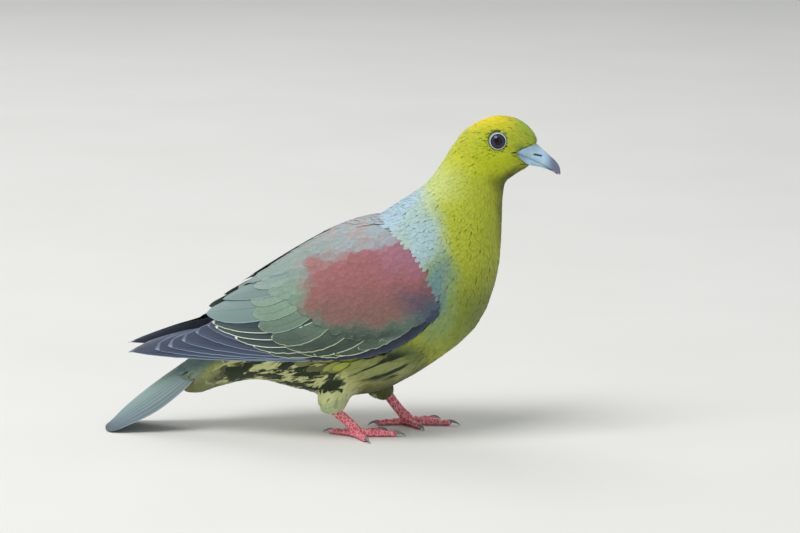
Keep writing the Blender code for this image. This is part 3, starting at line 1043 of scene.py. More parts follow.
BODY_BASE = tint(172, 182, 52)
BODY_DABS = (
    # olive green of the low breast, darkened further as painted shade
    Dab(tint(112, 126, 52), (84.0, 0.0, 74.0), (46.0, 60.0, 38.0), 0.8),  # low breast
    # yellow-green of the belly, darkened as painted shade on the underside
    Dab(tint(86, 92, 50), (30.0, 0.0, 20.0), (80.0, 50.0, 36.0), 0.6),  # belly
    # painted shade on the belly just before the legs
    Dab(tint(98, 104, 50), (54.0, 0.0, 34.0), (36.0, 60.0, 18.0), 0.7),  # before the legs
    # olive of the vent, darkened as painted shade on the underside
    Dab(tint(104, 110, 70), (-64.0, 0.0, 18.0), (54.0, 50.0, 32.0), 0.4),  # vent
    Dab(tint(118, 142, 138), (-60.0, 0.0, 84.0), (90.0, 60.0, 48.0), 0.3),  # back and rump
    Dab(tint(118, 142, 138), (-92.0, 0.0, 52.0), (44.0, 60.0, 25.0), 0.3),  # over the tail
    Dab(tint(200, 212, 128), (58.0, 0.0, 144.0), (30.0, 34.0, 25.0), 0.7),  # back of the neck
    Dab(tint(166, 192, 204), (28.0, 0.0, 126.0), (48.0, 50.0, 30.0), 0.5),  # mantle
    Dab(tint(164, 192, 196), (56.0, 30.0, 112.0), (17.0, 24.0, 38.0), 0.7),  # side of the neck
    Dab(tint(138, 162, 98), (66.0, 34.0, 85.0), (15.0, 20.0, 34.0), 0.5),  # shoulder
    Dab(tint(112, 144, 146), (66.0, 36.0, 92.0), (9.0, 16.0, 24.0), 0.8),  # before the wrist
    Dab(tint(108, 118, 62), (46.0, 32.0, 50.0), (30.0, 26.0, 16.0), 0.5),  # under the wrist
    # painted shade on the front of the neck, out of the light from above
    Dab(tint(112, 122, 18), (99.0, 0.0, 128.0), (10.0, 18.0, 30.0), 0.7),  # front of the neck
    Dab(tint(200, 202, 50), (76.0, 0.0, 160.0), (20.0, 22.0, 18.0), 0.8),  # nape
    Dab(tint(186, 196, 34), (94.0, 12.0, 158.0), (18.0, 16.0, 16.0), 0.8),  # cheek
    Dab(tint(230, 208, 10), (90.0, 0.0, 182.0), (23.0, 20.0, 21.0), 0.8),  # crown
    Dab(tint(162, 182, 54), (114.0, 0.0, 172.0), (11.0, 12.0, 14.0), 0.7),  # forehead
    Dab(tint(126, 146, 62), (107.0, 7.0, 163.5), (6.5, 6.0, 4.5), 0.8),  # before the eye
    # painted shade under the head and bill, on the chin and throat
    Dab(tint(82, 88, 6), (103.0, 0.0, 146.5), (20.0, 20.0, 10.0), 0.7),  # chin and throat
    Dab(tint(150, 156, 96), (36.0, 30.0, 42.0), (30.0, 24.0, 12.0), 0.6),  # side of the belly
)
STREAKED = (
    Dab(tint(206, 208, 146), (-21.0, 30.0, 33.0), (53.0, 34.0, 18.0), 0.35),  # flank
    # cream under the tail, darkened as painted shade on the underside
    Dab(tint(122, 128, 78), (-66.0, 0.0, 22.0), (36.0, 30.0, 16.0), 0.4),  # under the tail
)
STREAK = tint(36, 50, 30)
GAPE = Dab(STREAK, (103.6, 9.0, 161.3), (2.6, 6.0, 0.6), 0.4)  # corner of the mouth
STRIPED = Dab(STREAK, (32.0, 32.0, 42.0), (34.0, 22.0, 12.0), 0.4)
THIGH = Dab(tint(184, 198, 148), (6.0, 20.0, 18.0), (32.0, 14.0, 15.0), 0.4)


@dataclass(frozen=True)
class BodyFinish:
    """Green, yellow and blue-grey contour feathers, cream with dark green centres on the flanks."""

    name: str
    roughness: float = 0.78
    sheen: float = 0.12
    gloss: float = 0.25
    variety: float = 0.07  # how much one feather differs from the next
    barbs: float = 9.0  # fine ridges along each half of a vane
    slant: float = 2.2  # of the ridges
    run: Spot = (0.92, 0.39)  # the way that the flank's feathers slant

    def _dresser(self) -> Dresser:
        """A dresser with what the skin's and the feathers' finish share."""
        return Dresser(self.name, Sheen_Weight=self.sheen, Specular_IOR_Level=self.gloss)

    def paint(self, dresser: Dresser, place: Wire) -> tuple[Wire, Wire]:
        """The colours of the body, painted shade under the head and on the underside among them.

        Args:
            dresser: the material's.
            place: where they are read.

        Returns:
            The colour, and how far the place lies in the streaked part of the coat.
        """
        place = dresser.wavered(place, 60.0, 0.012)
        colour: Any = BODY_BASE
        for dab in BODY_DABS:
            colour = dresser.mix(dab.mask(dresser, place), colour, dab.colour)
        streaked: Any = 0.0
        for dab in STREAKED:
            mask = dab.mask(dresser, place)
            colour = dresser.mix(mask, colour, dab.colour)
            streaked = dresser.math("MAXIMUM", mask, streaked)
        mask = THIGH.mask(dresser, place)
        return dresser.mix(mask, colour, THIGH.colour), streaked * (1 - 0.85 * mask)

    def stripes(self, dresser: Dresser, place: Wire) -> Wire:
        """How dark each place is with the long slanting streaks below the front of the wing."""
        wave = self.grain(dresser, place, 0.12, 210.0)
        return dresser.ramp(wave, 0.5, 0.57) * STRIPED.mask(dresser, dresser.folded(place))

    def blotches(self, dresser: Dresser, place: Wire) -> Wire:
        """A wave whose high places are the irregular blotches of the flanks."""
        return self.grain(dresser, place, 0.4, 120.0)

    def grain(self, dresser: Dresser, place: Wire, draw: float, scale: float) -> Wire:
        """A wave drawn out along the way that the flank's feathers slant.

        Args:
            dresser: the material's.
            place: where it is read.
            draw: its breadth over its length.
            scale: its waves to a metre.

        Returns:
            The wave, about 0.5.
        """
        x, y, z = dresser.split(dresser.folded(place))
        level, drop = self.run
        down, over = level * x + drop * z, level * z - drop * x
        return dresser.noise(dresser.joined(down * draw, y * 0.3, over), scale, 2.0)

    def skin(self) -> bpy.types.Material:
        """The finish of the skin, marked as the feathers over it are."""
        dresser = self._dresser()
        place = dresser.place()
        colour, streaked = self.paint(dresser, place)
        blots = dresser.ramp(self.blotches(dresser, place), 0.48, 0.54) * streaked
        dark = dresser.math("MAXIMUM", self.stripes(dresser, place), blots)
        down = dresser.noise(place, 900.0, 3.0)
        colour = dresser.scaled(dresser.mix(dark, colour, STREAK), 0.78 + 0.24 * down)
        dresser.dress(colour, self.roughness, dresser.bump(down, 0.4, 0.4))
        return dresser.material

    def coat(self) -> bpy.types.Material:
        """The finish of the feathers."""
        dresser = self._dresser()
        place = dresser.place()
        u, v, chance = dresser.split(dresser.field("vane"))
        colour, streaked = self.paint(dresser, dresser.field("root"))
        aside = dresser.math("ABSOLUTE", u)
        wave = dresser.noise(place, 700.0, 2.0)
        blot = self.blotches(dresser, place) + 0.09 * chance - 0.1 * aside + 0.06 * wave
        core = dresser.ramp(blot, 0.5, 0.56) * streaked
        core = dresser.math("MAXIMUM", core, self.stripes(dresser, place))
        core = dresser.math("MAXIMUM", core, GAPE.mask(dresser, dresser.folded(place)))
        shade = 1 - self.variety + 2 * self.variety * chance
        # painted shade: each feather darker toward its root, where it lies under those above
        shade = shade * (0.88 + 0.12 * dresser.ramp(v, 0.1, 0.75))
        ridge = dresser.barbs(v, aside, self.slant, self.barbs)
        shade = shade * (1 + 0.035 * ridge)
        rough = self.roughness - 0.1 + 0.2 * wave
        colour = dresser.scaled(dresser.mix(core, colour, STREAK), shade)
        dresser.dress(colour, rough, dresser.bump(ridge * 0.5 + wave, 0.35, 0.08))
        return dresser.material


# ---- contour feathers


@dataclass(frozen=True)
class Coat:
    """A stretch of the coat between two places along the body, and the size of its feathers."""

    name: str
    slot: str
    start: float
    stop: float
    spacing: tuple[float, float]  # at the start and at the stop
    length: float  # over the spacing
    width: float  # half of it over the spacing
    grid: tuple[int, int]
    soften: float
    stray: float  # degrees by which feathers leave the common lie


COATS = (
    Coat("head_coat", "head_plumage", -0.1, 0.135, (0.72, 0.95), 3.8, 0.74, (5, 3), 0.9, 4.0),
    Coat("neck_coat", "head_plumage", 0.135, 0.3, (0.95, 1.5), 4.0, 0.8, (6, 3), 0.9, 4.0),
    Coat("breast_coat", "body_plumage", 0.3, 0.52, (1.5, 2.2), 4.0, 0.86, (6, 5), 0.88, 5.0),
    Coat("belly_coat", "body_plumage", 0.52, 0.62, (2.2, 2.7), 4.0, 0.84, (7, 5), 0.7, 6.0),
    Coat("vent_coat", "body_plumage", 0.62, 1.1, (2.7, 2.9), 4.0, 0.86, (8, 5), 0.6, 6.0),
)


@dataclass
class Plumage:
    """The contour feathers of head, neck, body and thighs, which grow out of the skin."""

    skin: Skin
    mesh: bpy.types.Mesh
    crowding: float = 7.0  # candidates tried on each square millimetre
    thigh_heights: tuple[float, float] = (18.0, 27.0)
    thigh_spacing: float = 1.5
    wing_reach: float = 2.6  # roots nearer than this to a wing's face are left to the wing
    wing_gap: float = 0.8  # how near to a wing a feather may end
    feathered: float = 0.3  # how bare the face may be where feathers grow
    patch: float = 0.003  # a feather's share of the unwrap

    def __post_init__(self) -> None:
        """Survey what the feathers grow from and lie on."""
        self.lie, self.face = self.skin.lie, self.skin.face
        self.normals = point_normals(self.mesh)
        self.points, self.faces, _ = mesh_arrays(self.mesh)
        self.wings = node_tree(*WINGS)
        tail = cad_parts["tail"].data
        first = len(self.points)
        self.under = BVHTree.FromPolygons(
            self.points.tolist() + [v.co / MM for v in tail.vertices],
            self.faces.tolist() + [[first + i for i in f.vertices] for f in tail.polygons],
        )

    def _candidates(self, seed: int) -> tuple[Array, Array]:
        """Random places all over the skin.

        Args:
            seed: for the draws.

        Returns:
            The places and the skin's normals there.
        """
        corners = self.points[self.faces]
        one, other = corners[:, 2] - corners[:, 0], corners[:, 3] - corners[:, 1]
        area = np.linalg.norm(np.cross(one, other), axis=1) / 2
        draw = np.random.default_rng(seed)
        count = int(area.sum() * self.crowding)
        chosen = draw.choice(len(self.faces), count, p=area / area.sum())
        s, t = draw.random((2, count, 1))

        def read(values: Array) -> Array:
            """What the skin has at its points, read inside its faces."""
            a, b, c, d = (values[self.faces[chosen, i]] for i in range(4))
            return (a * (1 - s) + b * s) * (1 - t) + (d * (1 - s) + c * s) * t

        return read(self.points), unit(read(self.normals))

    def build(self) -> list[tuple[Coat, bpy.types.Mesh]]:
        """Grow the coat.

        Returns:
            Each stretch of the coat with its mesh.
        """
        place, normal = self._candidates(3)
        along = self.lie.along(place)
        free = self.face.bare(place) < self.feathered
        for side in Side:
            off, beside = self.lie.beside_eye(place, side)
            free &= (off > self.lie.eye_reach) | ~beside
        made = []
        for number, coat in enumerate(COATS):
            here = np.flatnonzero(free & (along >= coat.start) & (along < coat.stop))
            share = np.clip((along[here] - coat.start) / (coat.stop - coat.start), 0, 1)
            room = coat.spacing[0] + (coat.spacing[1] - coat.spacing[0]) * share
            low = 1 - ease(place[here, 2], *self.thigh_heights)
            room = room * (1 - low) + self.thigh_spacing * low
            picked = spread(place[here], room)
            roots, out, room = place[here][picked], normal[here][picked], room[picked]
            gap = nearest(self.wings, roots)[2]
            back = (np.abs(roots[:, 1]) < 18.0) & (out[:, 2] > 0.35) & (roots[:, 0] > -30.0)
            clear = (gap > self.wing_reach) | back
            clear &= (out[:, 0] > -0.8) | (roots[:, 0] > -60.0)
            mesh = self._grow(coat, roots[clear], out[clear], room[clear], 100 + number)
            made.append((coat, mesh))
        return made

    def _beside_wings(self, roots: Array, ahead: Array, length: Array) -> tuple[Array, Array]:
        """Feathers cut short where they would run into a wing.

        Args:
            roots: where they grow.
            ahead: the ways that they lie.
            length: of each.

        Returns:
            Their lengths, and how much of its height each keeps.
        """
        gap = nearest(self.wings, roots)[2]
        ending = nearest(self.wings, roots + ahead * length[:, None])[2]
        outside = gap > self.wing_reach
        into = (ending < self.wing_gap) & outside
        length = np.where(into, np.minimum(length, gap + self.wing_gap), length)
        return length, np.where(outside, 1.0, 0.7)

    def _grow(self, coat: Coat, roots: Array, out: Array, room: Array, seed: int) -> bpy.types.Mesh:
        """The feathers of one stretch as a mesh.

        Args:
            coat: the stretch.
            roots: where its feathers grow.
            out: the skin's normals there.
            room: the spacing there.
            seed: for the draws that make feathers differ.

        Returns:
            The mesh.
        """
        draw = np.random.default_rng(seed)
        vanes = Vanes(coat.name, *coat.grid, 0.08 + 0.02 * coat.spacing[0], coat.soften)
        ahead = self.lie.directions(roots, out)
        turn = np.radians(draw.normal(0, coat.stray, len(roots)))[:, None]
        ahead = ahead * np.cos(turn) + np.cross(ahead, out) * np.sin(turn)
        across = np.cross(ahead, out)
        length = room * coat.length * draw.uniform(0.9, 1.12, len(roots))
        length, tucked = self._beside_wings(roots, ahead, length)
        lift = 0.45 * ease(roots[:, 0], -86.0, -70.0)
        for side in Side:
            off = np.linalg.norm(roots - side.mirror(self.lie.eye), axis=1)
            length *= 0.62 + 0.38 * ease(off, 6.0, 9.0)
            lift *= 0.2 + 0.8 * ease(off, 5.0, 8.0)
        lift = np.minimum(lift, 1 - self.face.bare(roots - (2.0, 0.0, 0.0)))[:, None, None]
        v, u = vanes.v[None, :, None, None], vanes.u[None, None, :, None]
        wide = (room * coat.width)[:, None, None, None] * vane_width(v, 0.45, 0.45)
        flat = (
            roots[:, None, None]
            + ahead[:, None, None] * length[:, None, None, None] * v
            + across[:, None, None] * wide * u
        )
        foot, facing, _ = nearest(self.under, flat)
        facing = unit(facing + out[:, None, None])
        climb = 1 - (1 - v[..., 0]) ** 2.2
        height = lift + (1 - lift) * climb * tucked[:, None, None]
        height = height + draw.normal(0, 0.02, (len(roots), 1, 1))
        depth = self.skin.depth_at(roots)[:, None, None]
        height = depth * height - 0.12 * wide[..., 0] * u[..., 0] ** 2
        over = ((flat - foot) * facing).sum(-1)
        top = flat + facing * np.clip(height - over, -2.0, 3.0)[..., None]
        top[..., 2] = np.maximum(top[..., 2], 1.0)
        marks = np.stack([room, length, draw.random(len(roots))], axis=1)
        lies = (facing[:, -1, 0] * out).sum(1) > np.where(roots[:, 0] < -80.0, 0.8, 0.3)
        home = self.lie.unwrapped(roots[lies])
        vanes.add(top[lies], facing[lies], home, self.patch, marks[lies])
        return vanes.mesh(seed - 100)


# ---- wings


@dataclass
class WingChart:
    """The outer face of a folded wing as a sheet, read by x and by the way up along the face.

    The way up starts at the height of the wing's lower edge and runs on along the face, so that on
    the steep lower part it is nearly the height itself.
    """

    side: Side
    step: float = 1.5
    columns: int = 48
    heart_places: tuple[float, ...] = (-116.0, -60.0, 8.0, 60.0)
    heart_heights: tuple[float, ...] = (43.5, 52.0, 76.0, 85.0)  # of the middle of the wing
    outside: float = 120.0  # from here the wing is seen
    rounds: int = 8
    ease_along: float = 0.5  # how much each round evens the sheet out
    ease_up: float = 0.4

    def __post_init__(self) -> None:
        """Survey the frame's wing from outside."""
        self.sign, name = self.side.sign, f"wing_{self.side.label}"
        low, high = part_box(name)
        tree = node_tree(name)
        self.xs = np.arange(low.x / MM + 0.6, high.x / MM - 0.4, self.step)
        rows, starts, lengths = [], [], []
        for x, height in zip(self.xs, np.interp(self.xs, self.heart_places, self.heart_heights)):
            face = self._ring(tree, x, height)
            reach = run_of(face)
            rows.append(read_rows(np.linspace(0.0, reach[-1], self.columns), reach, face))
            starts.append(face[0, 2])
            lengths.append(reach[-1])
        grid = np.array(rows)
        for _ in range(self.rounds):
            along = (grid[:-2] + grid[2:]) / 2 - grid[1:-1]
            grid[1:-1] += self.ease_along * along
            up = (grid[:, :-2] + grid[:, 2:]) / 2 - grid[:, 1:-1]
            grid[:, 1:-1] += self.ease_up * up
        self.grid, self.starts, self.lengths = grid, np.array(starts), np.array(lengths)
        normals = np.cross(np.gradient(grid, axis=0), np.gradient(grid, axis=1))
        self.normals = unit(normals) * -self.sign

    def _ring(self, tree: BVHTree, x: float, height: float) -> Array:
        """The wing's outer face at one x, seen from outside toward a point inside.

        Args:
            tree: the frame's wing.
            x: where it is cut.
            height: of the point inside.

        Returns:
            Points up the face.
        """
        face = []
        for angle in np.radians(np.linspace(-65.0, 91.0, 157)):
            out = Vector((0.0, self.sign * math.cos(angle), math.sin(angle)))
            start = Vector((x, 0.0, height)) + out * self.outside
            place, normal, _, _ = tree.ray_cast(start, -out)
            if place is not None and max(normal.y * self.sign, normal.z) > 0.2:
                face.append(place)
        return np.array(face)

    def at(self, x: Array, way: Array) -> tuple[Array, Array]:
        """Read the face, which runs on straight past its edges.

        Args:
            x: places along the wing.
            way: places up its face.

        Returns:
            Points of the face and its normals.
        """
        inside = np.clip(x, self.xs[0], self.xs[-1])
        i = (inside - self.xs[0]) / self.step
        row = np.clip(np.floor(i).astype(int), 0, len(self.xs) - 2)
        a = (i - row)[..., None]
        low = np.interp(inside, self.xs, self.starts)
        size = np.interp(inside, self.xs, self.lengths)
        j = (way - low) / size * (self.columns - 1)
        column = np.clip(np.floor(j).astype(int), 0, self.columns - 2)

        def read(sheet: Array, b: Array) -> Array:
            """A sheet read between its points."""
            first = sheet[row, column] * (1 - b) + sheet[row, column + 1] * b
            second = sheet[row + 1, column] * (1 - b) + sheet[row + 1, column + 1] * b
            return first * (1 - a) + second * a

        b = (j - column)[..., None]
        point = read(self.grid, b)
        point[..., 0] += x - inside
        return point, unit(read(self.normals, np.clip(b, 0.0, 1.0)))

    def crest(self, x: Array) -> Array:
        """The way up the face to the wing's upper edge at each x."""
        return np.interp(x, self.xs, self.starts + self.lengths)

    def way(self, x: float, height: float) -> float:
        """The way up the face at which it reaches a height.

        Args:
            x: where along the wing.
            height: the height.

        Returns:
            The way.
        """
        i = int(np.clip(round((x - self.xs[0]) / self.step), 0, len(self.xs) - 1))
        t = np.linspace(0.0, 1.0, self.columns)
        reach = np.interp(height, np.maximum.accumulate(self.grid[i, :, 2]), t)
        below = min(height - self.grid[i, 0, 2], 0.0)
        return float(self.starts[i] + reach * self.lengths[i] + below)

    def unwrapped(self, x: Array, way: Array) -> Array:
        """Places on a flat unwrap, one half of it for each wing."""
        across = 0.03 + 0.44 * (way - 40.0) / 100.0 + 0.5 * (self.sign > 0)
        return np.stack([0.03 + 0.94 * (x + 120.0) / 190.0, across], axis=-1)


class Kind(Enum):
    """The kinds of big feathers, with the name of each one's piece."""

    PRIMARY = "primaries"
    EDGE = "edge_coverts"
    SECONDARY = "secondaries"
    TERTIAL = "tertials"
    COVERT = "greater_coverts"


@dataclass(frozen=True)
class Quill:
    """A big feather on the wing's face: the run of its shaft and the width of its two webs."""

    root: Spot
    bend: Spot
    tip: Spot
    outer: float  # web toward the wing's lower edge
    inner: float
    blunt: float  # where the vane starts to close
    layer: float  # height over the wing's face at the tip
    margin: float  # strength of the pale margin


QUILLS = {
    Kind.PRIMARY: (
        Quill((24, 51), (-50, 45.0), (-116.0, 45.9), 2.6, 18.0, 0.6, -1.7, 0.6),
        Quill((20, 51.5), (-45, 45.8), (-99.8, 48.4), 2.8, 17.0, 0.64, -1.55, 0.7),
        Quill((16, 52), (-40, 46.6), (-92.2, 50.6), 2.8, 15.0, 0.66, -1.4, 0.7),
        Quill((12, 53), (-36, 47.4), (-84.2, 54.2), 3.0, 13.0, 0.7, -1.25, 0.65),
        Quill((8, 54), (-32, 48.6), (-76.2, 59.2), 3.2, 11.0, 0.72, -1.1, 0.5),
        Quill((4, 56), (-28, 50.2), (-69.4, 63.4), 3.4, 9.5, 0.74, -0.95, 0.4),
    ),
    Kind.EDGE: (
        Quill((40, 61), (18, 48.6), (-12, 47.8), 2.2, 6.0, 0.6, -1.3, 0.25),
        Quill((48, 66), (28, 50.6), (2, 48.0), 2.2, 6.0, 0.6, -1.2, 0.25),
        Quill((56, 73), (40, 55.0), (16, 48.8), 2.3, 6.0, 0.6, -1.1, 0.25),
        Quill((62, 81), (52, 62.0), (30, 51.6), 2.4, 6.0, 0.6, -1.0, 0.25),
        Quill((62.5, 85), (59, 70.0), (44, 58.0), 2.2, 5.0, 0.6, -0.9, 0.2),
    ),
    Kind.SECONDARY: (
        Quill((18, 60), (-6, 48.5), (-33, 50.6), 3.0, 9.0, 0.72, -0.95, 0.6),
        Quill((14, 64), (-10, 49.5), (-42, 54.0), 3.0, 9.0, 0.72, -0.85, 0.85),
        Quill((10, 68), (-18, 51.0), (-52.5, 58.2), 3.0, 9.5, 0.72, -0.75, 1.0),
        Quill((6, 72), (-26, 53.6), (-64.3, 62.8), 3.0, 10.0, 0.72, -0.65, 1.0),
        Quill((2, 76), (-30, 58.4), (-66.4, 65.0), 3.1, 10.5, 0.72, -0.55, 0.85),
    ),
    Kind.TERTIAL: (
        Quill((0, 92), (-38, 70.0), (-70.4, 68.6), 8.6, 10.5, 0.7, -0.35, 0.7),
        Quill((6, 102), (-30, 82.0), (-61.5, 75.6), 5.6, 9.5, 0.7, -0.2, 0.5),
        Quill((12, 111), (-16, 96.0), (-50.5, 84.5), 5.6, 9.0, 0.68, -0.05, 0.4),
    ),
    Kind.COVERT: (
        Quill((60, 82), (46, 65.0), (32, 59.5), 3.0, 7.0, 0.62, -0.66, 0.3),
        Quill((54, 76), (36, 58.0), (18, 54.5), 3.0, 7.5, 0.62, -0.62, 0.55),
        Quill((46, 70), (24, 52.5), (4, 51.6), 3.0, 8.0, 0.62, -0.58, 0.95),
        Quill((36, 65), (14, 50.0), (-7, 51.0), 3.0, 8.0, 0.62, -0.54, 0.95),
        Quill((28, 66), (6, 48.9), (-15, 52.4), 3.2, 8.5, 0.64, -0.48, 0.9),
        Quill((18, 70), (-3, 50.2), (-23.5, 55.8), 3.4, 9.0, 0.64, -0.42, 0.95),
        Quill((8, 76), (-12, 53.0), (-31.0, 59.6), 3.6, 9.0, 0.64, -0.36, 0.7),
        Quill((0, 84), (-20, 62.0), (-38.6, 65.2), 3.8, 9.5, 0.66, -0.3, 0.4),
        Quill((-4, 90), (-26, 69.5), (-41.6, 71.4), 4.2, 9.5, 0.66, -0.24, 0.2),
        Quill((-8, 97), (-30, 77.5), (-43.4, 78.2), 4.6, 9.5, 0.66, -0.18, 0.15),
        Quill((-8, 104), (-30, 86.5), (-42.5, 85.4), 5.0, 9.0, 0.66, -0.12, 0.12),
    ),
}


@dataclass(frozen=True)
class WingFinish:
    """Vanes of the wing: grey-green with a maroon patch in front, dark behind, edged with cream."""

    name: str
    margin: Colour
    ground: Colour | None = None  # coverts take the wing's pattern instead
    dark: Colour | None = None
    roughness: float = 0.55
    wine: float = 1.0  # strength of the maroon patch
    variety: float = 0.05
    barbs: float = 26.0
    slant: float = 3.0

    def pattern(self, dresser: Dresser, place: Wire) -> Wire:
        """The colours of the coverts by where they grow: green, maroon, grey and dark blue.

        Args:
            dresser: the material's.
            place: where they are read.

        Returns:
            The colour.
        """
        ramp, mix = dresser.ramp, dresser.mix
        x, _, z = dresser.split(dresser.wavered(place, 110.0, 0.014))
        x, z = x / MM, z / MM
        green = mix(ramp(z, 53.0, 88.0), tint(38, 52, 46), tint(126, 152, 132))
        grey = mix(ramp(x, -20.0, 30.0), tint(132, 150, 144), tint(148, 162, 168))
        top = z - 0.3 * x
        green = mix(ramp(top, 88.0, 106.0), green, grey)
        rosy = ramp(x, -24.0, 4.0) * ramp(x, 46.0, 28.0) * ramp(top, 90.0, 106.0)
        rosy = rosy * ramp(dresser.noise(place, 120.0, 2.0), 0.35, 0.65)
        green = mix(rosy * 0.5, green, tint(180, 142, 134))
        hollow = (x - 20.0) ** 2.0 * 0.0085 + 67.0
        patch = ramp(x, -14.0, -4.0) * ramp(top, 107.0, 99.0)
        patch = patch * ramp(x + 0.26 * z, 90.0, 83.0) * ramp(z - hollow, -3.0, 6.0)
        wine = mix(ramp(z, 70.0, 100.0), tint(132, 98, 90), tint(156, 96, 98))
        front = ramp(x, 22.0, 46.0) * ramp(z, 90.0, 106.0)
        wine = mix(front * 0.6, wine, tint(158, 110, 136))
        colour = mix(patch * self.wine, green, wine)
        violet = ramp(x + 0.5 * z, 78.0, 97.0) * ramp(z, 96.0, 80.0)
        colour = mix(violet * 0.8, colour, tint(70, 74, 100))
        edge = ramp(z - 0.0075 * dresser.math("MAXIMUM", x - 2.0, 0.0) ** 2.0, 51.0, 47.0)
        return mix(edge * ramp(x, -6.0, 8.0) * 0.8, colour, tint(48, 60, 84))

    def material(self) -> bpy.types.Material:
        """The finish as a material."""
        dresser = Dresser(self.name, Sheen_Weight=0.15, Specular_IOR_Level=0.35)
        u, v, chance = dresser.split(dresser.field("vane"))
        strength, width, _ = dresser.split(dresser.field("marks"))
        place = dresser.place()
        aside = dresser.math("ABSOLUTE", u)
        grain = dresser.noise(place, 500.0, 3.0)
        if self.ground is None:
            colour = self.pattern(dresser, dresser.midway(dresser.field("root"), place))
            mottle = dresser.noise(place, 700.0, 3.0)
            # painted shade: darker toward the inner web, which lies under the next feather
            colour = dresser.scaled(colour, 0.8 + 0.4 * mottle - 0.1 * dresser.ramp(u, -0.5, 0.4))
        else:
            colour = dresser.mix(dresser.ramp(u, -0.6, 0.5), self.ground, self.dark)
        rim = dresser.math("MAXIMUM", aside, dresser.ramp(v, 0.9, 1.0) * 0.98)
        outer = 1 - dresser.ramp(u, -0.2, 0.3) * (0.6 + 0.3 * dresser.ramp(v, 0.97, 0.85))
        rim = dresser.ramp((1.02 - rim - 0.04 * grain) / width, 1.1, 0.5)
        colour = dresser.mix(rim * outer * strength, colour, self.margin)
        barb = dresser.barbs(v, aside, self.slant, self.barbs)
        shaft = dresser.ramp(aside, 0.07, 0.02)
        shade = 1 - self.variety + 2 * self.variety * chance
        shade = shade * (1 + 0.03 * barb) * (1 - 0.18 * shaft)
        relief = barb * 0.25 + shaft * 1.5 + grain * 0.5
        rough = self.roughness - 0.08 + 0.16 * grain
        dresser.dress(dresser.scaled(colour, shade), rough, dresser.bump(relief, 0.3, 0.1))
        return dresser.material


COVERTS = WingFinish("coverts", tint(168, 182, 160), roughness=0.66)
QUILL_COLOURS = {  # of the margin, the outer web and the inner web
    Kind.PRIMARY: (tint(156, 178, 202), tint(64, 76, 98), tint(48, 56, 76)),
    Kind.EDGE: (tint(100, 116, 146), tint(44, 56, 80), tint(34, 44, 58)),
    Kind.SECONDARY: (tint(232, 236, 216), tint(56, 76, 74), tint(38, 52, 58)),
    Kind.TERTIAL: (tint(150, 178, 194), tint(108, 132, 128), tint(112, 134, 130)),
    Kind.COVERT: (tint(206, 214, 178),),
}
SMALL_MARGIN = 0.12  # breadth of a small feather's pale margin, over half the vane


